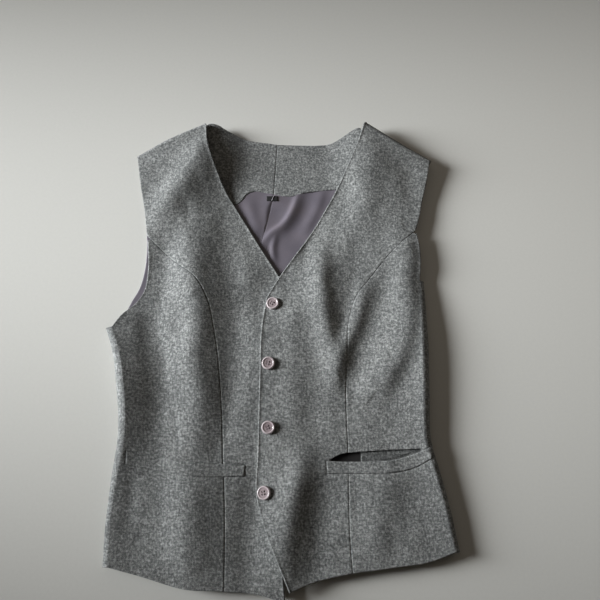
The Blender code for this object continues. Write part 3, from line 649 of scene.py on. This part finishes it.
def woolMaterial(name, shade=1.0):
    # dark and pale fibres carded together: speckle, short slubs both ways and a plain weave under the nap
    paint = Paint(name, Roughness=0.95, Sheen_Weight=0.10, Sheen_Roughness=0.5,
                  Sheen_Tint=(0.9, 0.95, 1.0, 1.0), Specular_IOR_Level=0.12)
    place = paint.node("ShaderNodeUVMap", {"uv_map": "grain"})
    body = paint.node("ShaderNodeTexCoord", out=3)
    long, wide = perMetre / wool["slubLong"], perMetre / wool["slubWide"]
    speckle = paint.noise(body, perMetre / wool["fibre"], 2.0, 0.62)
    fine = paint.noise(body, perMetre / wool["fibre"] * wool["fineFibre"], 1.0, 0.5)
    upright = paint.noise(paint.stretched(place, (wide, long, 1)), 1.0)
    level = paint.noise(paint.stretched(place, (long, wide, 1)), 1.0)
    cloudy = paint.noise(body, wool["cloud"], 2.0, 0.5)
    part = wool["tone"]
    mixed = speckle * part["speckle"] + fine * part["fine"] + upright * part["upright"]
    mixed = mixed + level * part["level"] + cloudy * part["cloudy"]
    tone = mixed - (sum(part.values()) / 2 - 0.5)    # about one half all over
    stops = [(0.02, "dark"), (0.46, "body"), (0.98, "light")]
    # a shade below 1 darkens every stop: a painted shade
    stops = [(at, [channel * shade for channel in wool[key]]) for at, key in stops]
    colour = paint.node("ShaderNodeValToRGB", {"stops": stops}, {0: tone})
    threads = math.pi * perMetre / wool["weave"]
    waves = []
    for axis in (0, 1):
        along = paint.node("ShaderNodeSeparateXYZ", {}, {0: place}, out=axis)
        waves.append(paint.node("ShaderNodeMath", {"operation": "SINE"}, {0: along * threads}))
    part = wool["nap"]
    nap = waves[0] * waves[1] * part["weave"] + speckle * part["speckle"]
    nap = nap + fine * part["fine"] + upright * part["upright"]
    paint.feed(Base_Color=colour, Normal=paint.bump(nap, wool["relief"] * millimetre, 0.8))
    return paint.material


satin = dict(dark=(0.085, 0.076, 0.092), pale=(0.200, 0.188, 0.230), warm=(0.140, 0.106, 0.104))


def satinMaterial():
    # smooth lining: fine threads, slow changes of tone and a soft gloss
    paint = Paint("lining satin", Roughness=0.29, Specular_IOR_Level=0.62, Sheen_Weight=0.12,
                  Sheen_Roughness=0.4)
    place = paint.node("ShaderNodeUVMap", {"uv_map": "grain"})
    body = paint.node("ShaderNodeTexCoord", out=3)
    threads = paint.noise(paint.stretched(place, (2600.0, 260.0, 1.0)), 1.0, 1.0)
    clouds = paint.noise(body, 34.0, 2.0)
    tone = threads * 0.35 + clouds * 0.9 - 0.12
    colour = paint.mix(tone, (*satin["dark"], 1), (*satin["pale"], 1))
    colour = paint.mix(clouds ** 3, colour, (*satin["warm"], 1))
    paint.feed(Base_Color=colour, Normal=paint.bump(threads, 0.00004, 0.5))
    return paint.material


resin = dict(rim=(0.52, 0.46, 0.47), dish=(0.30, 0.245, 0.255), swirl=(0.20, 0.15, 0.16), rimFrom=0.0050,
             rimFull=0.0064)


def resinMaterial():
    # pressed resin: a mottled pinkish grey, darker in the dish
    paint = Paint("button resin", Roughness=0.34, Specular_IOR_Level=0.5, Coat_Weight=0.25,
                  Coat_Roughness=0.2)
    place = paint.node("ShaderNodeUVMap", {"uv_map": "grain"})
    body = paint.node("ShaderNodeTexCoord", out=3)
    outward = paint.node("ShaderNodeSeparateXYZ", {}, {0: place}, out=1)
    swirl = paint.noise(body, 420.0, 3.0, 0.6)
    rimPart = paint.node("ShaderNodeMapRange", {}, {0: outward, 1: resin["rimFrom"], 2: resin["rimFull"],
                                                    3: 0.0, 4: 1.0})
    colour = paint.mix(rimPart, (*resin["dish"], 1), (*resin["rim"], 1))
    colour = paint.mix(swirl * 0.4, colour, (*resin["swirl"], 1))
    paint.feed(Base_Color=colour)
    return paint.material


def threadMaterial(name, colour):
    # twisted thread: fine turns along it
    paint = Paint(name, Roughness=0.7, Specular_IOR_Level=0.3, Sheen_Weight=0.2)
    body = paint.node("ShaderNodeTexCoord", out=3)
    turnsNoise = paint.noise(body, 2500.0, 1.0)
    shade = paint.mix(turnsNoise, (*[c * 0.7 for c in colour], 1), (*[c * 1.3 for c in colour], 1))
    paint.feed(Base_Color=shade, Normal=paint.bump(turnsNoise, 0.0001, 0.5))
    return paint.material


def floorMaterial():
    paint = Paint("studio floor", Roughness=0.95, Specular_IOR_Level=0.1)
    body = paint.node("ShaderNodeTexCoord", out=3)
    grit = paint.noise(body, 300.0, 2.0)
    shades = [(*[c * part for c in floor["colour"]], 1) for part in (0.97, 1.03)]
    paint.feed(Base_Color=paint.mix(grit, shades[0], shades[1]))
    return paint.material


# the pocketing is nearly black: a painted shadow for the deep shade inside the pocket mouth
threadColours = dict(ribbon=(0.004, 0.004, 0.0045), button=(0.24, 0.20, 0.21), lining=(0.34, 0.32, 0.35),
                     pocketing=(0.010, 0.009, 0.009))
# painted shade: the wool seen inside the pocket mouth is a darker copy of the wool, standing for the shadow
# there
pocketPaintedShade = 0.6        # the wool inside the pocket, as a part of its colour outside
materials = dict(
    wool=woolMaterial("melange wool"),
    satin=satinMaterial(),
    button=resinMaterial(),
    ribbon=threadMaterial("black ribbon", threadColours["ribbon"]),
)
buttonThread = threadMaterial("button thread", threadColours["button"])
print("materials made")

halves = {side: Half(side) for side in outlines}
left, right = halves["left"], halves["right"]

# the fronts
fronts = dict(step=1.7, turnRows=14, sideTip=0.985, centreWidth=108.0, centreLength=570.0, sideWidth=112.0,
              sideLength=415.0)
pocketRows = dict(reach=34, fade=16.0)
farAway = 99.0           # stands for a place with no cut near it


def weltMarks(half, x):
    # where rows are laid near a pocket: close together along the welt's edges and the mouth's lips
    low, high = half.welt["low"].yAt(x), half.welt["high"].yAt(x)
    marks = [low + off for off in (-2.0, -1.1, -0.5, 0.0, 0.5, 1.1)]
    if half.side == "right":
        marks += [low + (high - low) * part for part in (0.25, 0.45, 0.65)]
        marks += [high + off for off in (-1.2, -0.3, 0.2, 0.6, 1.0, 1.7, 2.6)]
        return marks, None
    lipLow, lipHigh = mouth["low"].yAt(x), mouth["high"].yAt(x)
    marks += [low + (lipLow - low) * part for part in (0.3, 0.5, 0.7)]
    marks += [lipLow + off for off in (-1.2, -0.5, 0.0)]
    gap = len(marks) - 1
    marks += [lipHigh + off for off in (0.0, 0.3, 0.7, 1.3, 2.2)]
    return marks, gap


def layRows(half, plan):
    # moves the rows near the welt onto its marks; rows further off follow less and less
    x, y = plan[..., 0].copy(), plan[..., 1].copy()
    first, last = min(half.weltEnds), max(half.weltEnds)
    marks, gap = weltMarks(half, x)
    weltY = (half.welt["low"].yAt(x) + half.welt["high"].yAt(x)) / 2
    inside = (x > first) & (x < last)
    nearness = np.where(inside, np.abs(y - weltY), 0).sum(axis=1) / np.maximum(inside.sum(axis=1), 1)
    nearness[inside.sum(axis=1) == 0] = np.inf
    base = int(np.argmin(nearness)) - len(marks) // 2
    inner = half.sign * (x - (first if half.side == "left" else last))
    window = ramp((inner + pocketRows["fade"]) / pocketRows["fade"])
    shift = np.zeros(y.shape)
    for k, target in enumerate(marks):
        shift[base + k] = target[base + k] - y[base + k]
    for k in range(1, pocketRows["reach"]):
        part = ramp(1 - k / pocketRows["reach"])
        if base - k >= 0:
            shift[base - k] = shift[base] * part
        shift[base + len(marks) - 1 + k] = shift[base + len(marks) - 1] * part
    moved = np.stack([x, y + shift * window], axis=-1)
    keep = None
    lip = None
    if gap is not None:
        cellX = (x[:-1, :-1] + x[1:, 1:]) / 2
        hole = np.zeros(cellX.shape, bool)
        hole[base + gap] = (cellX[base + gap] > mouth["fromX"]) & (cellX[base + gap] < mouth["toX"])
        keep = ~hole
        lip = np.minimum(*[np.abs(moved[..., 1] - mouth[edge].yAt(x)) for edge in ("low", "high")])
        lip = np.where((x > mouth["fromX"] - 1) & (x < mouth["toX"] + 1), lip, farAway)
    return moved, keep, lip


def frontCentre(half):
    # from the front edge and neckline to the princess seam, and over the shoulder
    lines, rows = half.lines, half.rows
    inner = joined((lines["frontEdge"], rows["neckCorner"]), (lines["neckline"], 1.0))
    outer = joined((lines["seam"], rows["armholeCorner"]), (lines["armholeHigh"], 1.0))
    missInner = half.shoulderBegin(np.float64(0)) - lines["neckline"](np.float64(1))
    missOuter = half.shoulderBegin(np.float64(1)) - lines["armholeHigh"](np.float64(1))
    plan = patch(lines["hemCentre"], half.shoulderBegin, inner, outer)
    us = spread(fronts["centreWidth"], fronts["step"])
    vs = spread(fronts["centreLength"], fronts["step"], high=False)
    u, v = np.meshgrid(us, vs)
    ease = ramp((v - rows["armholeCorner"]) / (1 - rows["armholeCorner"]))[..., None]
    flatPlan = plan(u, v) + ease * ((1 - u[..., None]) * missInner + u[..., None] * missOuter)
    flatPlan, keep, lip = layRows(half, flatPlan)
    flat = half.onFront(flatPlan)
    flat[..., 2] -= half.weltDip(flat[..., 0], flat[..., 1])
    over = np.linspace(0, 1, fronts["turnRows"] + 1)[1:]
    u, v = np.meshgrid(us, over)
    radius = half.shoulderRadius(u)
    along = v * (math.pi * radius + turns["shoulder"])
    turned = turnUnder(half.shoulderBegin(u), half.shoulderOut, radius, half.shoulderTop(u), along,
                       levels["back"])
    if keep is not None:
        keep = np.pad(keep, ((0, len(over)), (0, 0)), constant_values=True)
        lip = np.pad(lip, ((0, len(over)), (0, 0)), constant_values=farAway)
    middle = np.concatenate([flat, turned])
    edges = dict(left="rolled", right="seam", low="free")
    return shell("front_centre_cloth_" + half.side, middle, cloth["wool"], edges, keep, lip)


def frontSide(half):
    # from the princess seam to the side fold and under it; it narrows to the armhole above
    lines, rows = half.lines, half.rows
    underarm = rows["underarm"]
    tip = lines["seam"](np.float64(1))
    outer = joined((half.sideStart, underarm), (backwards(lines["armholeLow"]), 1.0))
    miss = half.sideStart(np.float64(0)) - lines["hemSide"](np.float64(1))

    def hem(part):
        return lines["hemSide"](part) + part[..., None] * miss

    def point(part):
        return np.zeros(np.shape(part) + (1,)) + tip

    us = spread(fronts["sideWidth"], fronts["step"])
    vs = spread(fronts["sideLength"], fronts["step"], high=False) * fronts["sideTip"]
    flatPlan = patch(hem, point, lines["seam"], outer)(*np.meshgrid(us, vs))
    flatPlan, keep, lip = layRows(half, flatPlan)
    flat = half.onFront(flatPlan)
    flat[..., 2] -= half.weltDip(flat[..., 0], flat[..., 1])
    over = np.linspace(0, 1, fronts["turnRows"] + 1)[1:]
    turn = np.meshgrid(over, vs)[0]
    startY = np.minimum(flatPlan[:, -1:, 1], half.underarmY) + 0 * turn
    radius = half.sideRadius(startY)
    start = np.stack([half.foldX(startY) - half.sign * radius, startY], axis=-1)
    along = turn * (math.pi * radius + turns["side"])
    outward = np.array([half.sign, 0.0])
    turned = turnUnder(start, outward, radius, half.sideTop(startY), along, levels["back"])
    cells = np.ones((len(vs) - 1, len(us) + len(over) - 1), bool)
    if keep is not None:
        cells[:, : keep.shape[1]] = keep
        lip = np.pad(lip, ((0, 0), (0, len(over))), constant_values=farAway)
    cells[:, len(us) - 1:] &= (vs[:-1, None] < underarm - 1e-3)
    middle = np.concatenate([flat, turned], axis=1)
    edges = dict(left="seam", low="free", right="free")
    return shell("front_side_cloth_" + half.side, middle, cloth["wool"], edges, cells, lip)


for half in (right, left):
    finishCloth(frontCentre(half), "wool", "front_centre_" + half.side)
    finishCloth(frontSide(half), "wool", "front_side_" + half.side)
print("fronts made")

# the back, its lining and its neck facing
backRows = dict(underarm=0.62, facingStart=0.74, neckCorner=0.6, liningHem=0.006, liningTuck=0.004)
backWidth, backLength = 180.0, 520.0     # about, to space the rows and columns
allFree = dict(left="free", right="free", low="free", high="free")
backSeam = [(0, -247), (0, -120), (-5, 40), (-18, 115), (-12, 140), (-4, 180), (0, 251)]
backSteps = dict(wool=3.4, satin=2.0, facing=1.8)
liningFolds = [
    dict(name="fold from the facing to the neck corner", west=3.4, east=8.0, height=3.1,
         line=[(26, 178), (18, 155), (7, 138), (-6, 128), (-17, 115)]),
    dict(name="fold beside it", west=2.6, east=4.5, height=1.8,
         line=[(-2, 120), (-5, 108), (-3, 92)]),
    dict(name="fold on the right", west=7, east=9, height=1.3,
         line=[(-38, 170), (-30, 150), (-22, 128)]),
    dict(name="trough on the left", west=9, east=9, height=-0.6,
         line=[(44, 182), (34, 150), (18, 118)]),
    dict(name="left fold", west=7, east=6, height=1.2,
         line=[(58, 184), (50, 160), (36, 132)]),
    dict(name="pull at the tab", west=9, east=2.0, height=0.9,
         line=[(-6, 178), (-12, 160), (-14, 140)]),
]
for foldRow in liningFolds:
    foldRow["curve"] = Line(foldRow["line"], steps=6)


def straight(a, b):
    return Line([tuple(a), tuple(b)], smooth=False)


def backPlan(half):
    # half the back in plan: one patch up to the facing's lower edge and one above it
    outline = half.outline
    seamGap = np.array([half.sign * 0.05, 0.0])

    def sideSeam(part):
        return half.sideStart(part) - np.array([half.sign * (turns["side"] + cloth["gap"]), 0.0])

    def shoulderSeam(part):
        return half.shoulderBegin(part) - half.shoulderOut * (turns["shoulder"] + cloth["gap"])

    hemEnd, underarm = sideSeam(np.float64(0)), sideSeam(np.float64(1))
    seamUp = [np.array(point, float) + seamGap for point in backSeam]
    split = Line([tuple(seamUp[-2])] + outline["facingLine"][1:])
    lowArmhole = Line([tuple(underarm)] + outline["backArmhole"])
    highArmhole = Line([outline["facingLine"][-1], tuple(shoulderSeam(np.float64(1)))])
    neck = Line([tuple(seamUp[-1])] + outline["neckEdge"][1:] + [tuple(shoulderSeam(np.float64(0)))])
    side = joined((sideSeam, backRows["underarm"]), (lowArmhole, 1.0))
    top = joined((neck, backRows["neckCorner"]), (shoulderSeam, 1.0))
    low = patch(straight(seamUp[0], hemEnd), split, Line(seamUp[:-1]), side)
    high = patch(split, top, straight(seamUp[-2], seamUp[-1]), highArmhole)

    def plan(u, v):
        start = backRows["facingStart"]
        below = low(u, np.clip(v / start, 0, 1))
        above = high(u, np.clip((v - start) / (1 - start), 0, 1))
        return np.where((v < start)[..., None], below, above)
    return plan


def backLayer(half, name, fromPart, toPart, mid, wall, step, edges, relief=None):
    plan = backPlan(half)
    us = spread(backWidth, step)
    vs = fromPart + (toPart - fromPart) * spread(backLength * (toPart - fromPart), step)
    u, v = np.meshgrid(us, vs)
    flat = plan(u, v)
    z = mid + neckRise(flat[..., 0], flat[..., 1])
    if relief is not None:
        z = z + relief(flat[..., 0], flat[..., 1])
    return shell(name + half.side, np.concatenate([flat, z[..., None]], axis=-1), wall, edges)


def liningRelief(x, y):
    # the loose lining stands up a little in folds, and lies flat where the fronts cover it
    shown = ramp((y - 40) / 40) * ramp((105 - np.abs(x)) / 40)
    lift = 0.5 + foldRelief(x, y, liningFolds) + 0.25 * softNoise(x, y, (16, 22), 5)
    return shown * np.maximum(lift, 0)


def facingRelief(x, y):
    return 0.18 * softNoise(x, y, (18, 26), 8) * ramp((245 - y) / 20) + 0.25


seamed = dict(left="seam", right="free", low="free", high="free")
tucked = dict(left="seam", right="free", low="free")       # the lining goes under the facing
for half in (right, left):
    start = backRows["facingStart"]
    made = backLayer(half, "back_cloth_", 0, 1, levels["back"], cloth["wool"], backSteps["wool"], seamed)
    finishCloth(made, "wool", "back_" + half.side)
    made = backLayer(half, "back_lining_cloth_", backRows["liningHem"], start + backRows["liningTuck"],
                     levels["lining"], cloth["satin"], backSteps["satin"], tucked, liningRelief)
    finishCloth(made, "satin", "back_lining_" + half.side)
    made = backLayer(half, "neck_facing_cloth_", start, 1, levels["facing"], cloth["facing"],
                     backSteps["facing"], seamed, facingRelief)
    finishCloth(made, "wool", "neck_facing_" + half.side)
print("back, lining and facing made")

# the welts
def weltStrip(half):
    # a doubled strip laid on the front between its two edges
    low, high = half.welt["low"], half.welt["high"]
    us = spread(low.length, weltCut["step"])
    vs = spread(weltCut["width"], weltCut["step"])
    u, v = np.meshgrid(us, vs)
    plan = low(u) + (high(u) - low(u)) * v[..., None]
    return shell("welt_cloth_" + half.side, half.onFront(plan, weltCut["above"]), weltCut["wall"], allFree)


for half in (right, left):
    finishCloth(weltStrip(half), "wool", "welt_" + half.side)

# inside the left pocket
pocket = dict(
    drop=0.9, dropAbove=1.8, dropOver=1.2,
    strip=dict(fromX=96, toX=166, fromY=-168, toY=-126, behind=2.5, wall=1.2, flat=(0.071, 0.042, 0.0029)),
    bag=dict(fromX=60, toX=166, fromY=-182, toY=-124, behind=4.2, wall=1.0, flat=(0.108, 0.058, 0.0062)),
)


def pocketPiece(half, name, size, drop=0.0):
    # a flat piece behind the front; below the welt's upper edge it drops further back
    us, vs = spread(size["toX"] - size["fromX"], 2.0), spread(size["toY"] - size["fromY"], 0.7)
    u, v = np.meshgrid(us, vs)
    plan = np.stack([size["fromX"] + (size["toX"] - size["fromX"]) * u,
                     size["fromY"] + (size["toY"] - size["fromY"]) * v], axis=-1)
    line = half.welt["high"].yAt(plan[..., 0]) + pocket["dropAbove"]
    behind = size["behind"] + drop * (1 - ramp((plan[..., 1] - line) / pocket["dropOver"]))
    return shell(name, half.onFront(plan, -behind), size["wall"], allFree)


# the pocket facing takes the darker wool and the bag a nearly black cloth: painted shade for the shadow
# inside the pocket mouth
finishCloth(pocketPiece(left, "pocket_facing_cloth", pocket["strip"], pocket["drop"]), "wool",
            "pocket_facing_left",
            woolMaterial("wool with painted pocket shade", pocketPaintedShade))
finishCloth(pocketPiece(left, "pocket_bag_cloth", pocket["bag"]), "satin", "pocket_bag_left",
            threadMaterial("pocketing painted black as shadow", threadColours["pocketing"]))
print("pockets made")

# the buttons
buttonPlaces = [(-3, 34), (-7, -38), (-6, -110), (-9, -179)]
buttonCut = dict(diameter=15.2, thick=2.6, rim=1.7, dish=0.6, hole=1.8, holeRing=2.0, around=96)


def buttonPoints():
    # turned about its axis from radius and height, with four holes sunk where the face is near a hole's axis
    b = buttonCut
    radius, thick = b["diameter"] / 2, b["thick"]
    inside = radius - b["rim"]
    flatRadii = np.concatenate([np.linspace(0.0, 3.4, 28), np.linspace(3.55, inside - 1.0, 5)])
    dip = np.linspace(0, 1, 8)[1:]
    slopeRadii = inside - 1.0 + 1.1 * dip
    slopeZ = thick - b["dish"] + b["dish"] * ramp(dip)
    turn = np.linspace(0, math.pi, 13)[1:]
    roundRadii = radius - b["rim"] / 2 + b["rim"] / 2 * np.sin(turn / 2)
    roundZ = thick / 2 + thick / 2 * np.cos(turn)
    radii = np.concatenate([flatRadii, slopeRadii, roundRadii])
    heights = np.concatenate([np.full(len(flatRadii), thick - b["dish"]), slopeZ, roundZ])
    back = np.linspace(1, 0, 6)[1:]
    radii = np.concatenate([radii, (radius - b["rim"] / 2) * back])
    heights = np.concatenate([heights, np.zeros(len(back))])
    angle = np.linspace(0, 2 * math.pi, b["around"], endpoint=False)
    x = radii[:, None] * np.cos(angle)
    y = radii[:, None] * np.sin(angle)
    z = heights[:, None] + 0 * x
    for k in range(4):
        at = math.pi / 4 + k * math.pi / 2
        away = np.hypot(x - b["holeRing"] * math.cos(at), y - b["holeRing"] * math.sin(at))
        z = z - np.where(z > thick * 0.6, 1.7 * ramp((b["hole"] / 2 + 0.15 - away) / 0.3), 0)
    return np.stack([x, y, z], axis=-1), radii


def ringFaces(rows, around, first=0):
    # four-sided faces between rings of points, closed all round
    corner = first + np.arange(rows * around).reshape(rows, around)
    after = np.roll(corner, -1, axis=1)
    return np.stack([corner[:-1], corner[1:], after[1:], after[:-1]], axis=-1).reshape(-1, 4)


def placedOnLeft(x, y, out):
    # a turn and place that stand a piece on the left front, facing along its normal
    foot = left.onFront(np.array([float(x), float(y)]), out)
    above = left.onFront(np.array([float(x), float(y)]), out + 1)
    turn = Vector(above - foot).normalized().to_track_quat("Z", "Y").to_matrix()
    return np.array(turn), np.array(foot)


def tube(path, radius, around=8):
    # a round cord of this radius along a path, from rings square to the path
    path = np.asarray(path, float)
    along = np.gradient(path, axis=0)
    along /= np.linalg.norm(along, axis=1, keepdims=True)
    side = np.cross(along, [0.0, 0.0, 1.0])
    side /= np.maximum(np.linalg.norm(side, axis=1, keepdims=True), 1e-6)
    up = np.cross(side, along)
    angle = np.linspace(0, 2 * math.pi, around, endpoint=False)
    circle = side[:, None] * np.cos(angle)[:, None] + up[:, None] * np.sin(angle)[:, None]
    size = np.full(len(path), radius)
    size[[0, -1]] = radius * 0.05
    return (path[:, None] + circle * size[:, None, None]).reshape(-1, 3)


for number, (x, y) in enumerate(buttonPlaces, start=1):
    points, radii = buttonPoints()
    turn, foot = placedOnLeft(x, y, cloth["wool"] / 2 + 0.9)
    spin = np.array(Matrix.Rotation(0.12 * number - 0.3, 3, "Z"))
    placed = points.reshape(-1, 3) @ (turn @ spin).T + foot
    grain = np.stack([placed[:, 0], np.repeat(radii, points.shape[1])], axis=-1)
    button = meshPiece("button_resin_%d" % number, placed, ringFaces(*points.shape[:2]), grain)
    finishPiece(button, "button", "button_%d" % number)
    # two bars of thread through the holes, and the shank under the button
    bars = []
    faces = []
    for side in (-1, 1):
        t = np.linspace(0, 1, 11)
        ring = buttonCut["holeRing"] * math.sqrt(0.5)
        face = buttonCut["thick"] - buttonCut["dish"]
        arch = face - 0.5 + 0.85 * np.sqrt(np.sin(math.pi * t) + 1e-6)
        points = tube(np.stack([side * ring + 0 * t, -ring + 2 * ring * t, arch], axis=-1), 0.32)
        faces.append(ringFaces(len(t), 8, first=sum(len(b) for b in bars)))
        bars.append(points)
    t = np.linspace(-1.3, 1.0, 6)
    shank = np.stack([0.01 * t, 0 * t, t], axis=-1)
    faces.append(ringFaces(len(t), 8, first=sum(len(b) for b in bars)))
    bars.append(tube(shank, 1.1))
    placed = np.concatenate(bars) @ (turn @ spin).T + foot
    thread = meshPiece("button_thread_%d" % number, placed, np.concatenate(faces)[:, ::-1])
    thread.data.materials.append(buttonThread)
    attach(thread, "root")
print("buttons made")

# the ribbon tab under the facing
tab = dict(x=-6, y=177.5, wide=14, long=7, thick=0.8, above=0.9, bow=0.5, thread=0.45,
           # a sheet's length may be no less than 10 mm
           flat=(0.014, 0.010, 0.00011))     # its flat length is given as 10 mm, more than the tab's own length


def tabStrip():
    u, v = np.meshgrid(spread(tab["wide"], 1.0), spread(tab["long"], 1.0))
    x = tab["x"] + (u - 0.5) * tab["wide"]
    y = tab["y"] - tab["long"] * (1 - v)
    z = levels["lining"] + (cloth["satin"] + tab["thick"]) / 2 + tab["above"] + neckRise(x, y)
    z = z + tab["bow"] * np.sin(math.pi * u) * (1 - v)
    return shell("neck_tab_ribbon", np.stack([x, y, z], axis=-1), tab["thick"], allFree)


finishCloth(tabStrip(), "ribbon", "neck_tab")
t = np.linspace(0, 1, 9)
stitchX, stitchY = tab["x"] + 2.6 - 3.4 * t, tab["y"] + 1.0 - 8.5 * t
stitchZ = levels["facing"] + 1.6 + neckRise(stitchX, stitchY) + 0.3 * np.sin(math.pi * t)
path = np.stack([stitchX, stitchY, stitchZ], axis=-1)
stitch = meshPiece("neck_tab_thread", tube(path, tab["thread"]), ringFaces(len(path), 8)[:, ::-1])
stitch.data.materials.append(threadMaterial("lining thread", threadColours["lining"]))
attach(stitch, "root")

# floor, lights and camera
plane = bpy.data.meshes.new("floor")
edge = floor["side"] / 2
corners = [(-edge, -edge, 0), (edge, -edge, 0), (edge, edge, 0), (-edge, edge, 0)]
plane.from_pydata(corners, [], [(0, 1, 2, 3)])
plane.materials.append(floorMaterial())
ground = bpy.data.objects.new("floor", plane)
bpy.context.collection.objects.link(ground)

for name, light in lights.items():
    lamp = bpy.data.lights.new(name, "AREA")
    lamp.shape = "RECTANGLE"
    lamp.size, lamp.size_y = light["size"]
    lamp.energy = light["power"]
    lamp.color = light["colour"]
    lamp.spread = math.radians(light["spread"])
    holder = bpy.data.objects.new(name, lamp)
    base = Vector((middle.x, middle.y, 0))
    holder.location = base + Vector(light["at"])
    holder.rotation_euler = (Vector(light["at"]) - Vector(light["aim"])).to_track_quat("Z", "Y").to_euler()
    bpy.context.collection.objects.link(holder)

world = bpy.data.worlds.new("studio")
bpy.context.scene.world = world
world.use_nodes = True
world.node_tree.nodes["Background"].inputs["Color"].default_value = (*surround["colour"], 1)
world.node_tree.nodes["Background"].inputs["Strength"].default_value = surround["strength"]

lens = bpy.data.cameras.new("camera")
lens.lens = view["lens"]
lens.sensor_width = view["sensor"]
camera = bpy.data.objects.new("camera", lens)
tilt = math.radians(view["tilt"])
aim = Vector((middle.x + view["aim"][0], middle.y + view["aim"][1], 0))
camera.location = aim + Vector((0, -math.sin(tilt), math.cos(tilt))) * view["distance"]
camera.rotation_euler = (tilt, 0, 0)
bpy.context.collection.objects.link(camera)
bpy.context.scene.camera = camera
bpy.context.scene.view_settings.view_transform = "Standard"
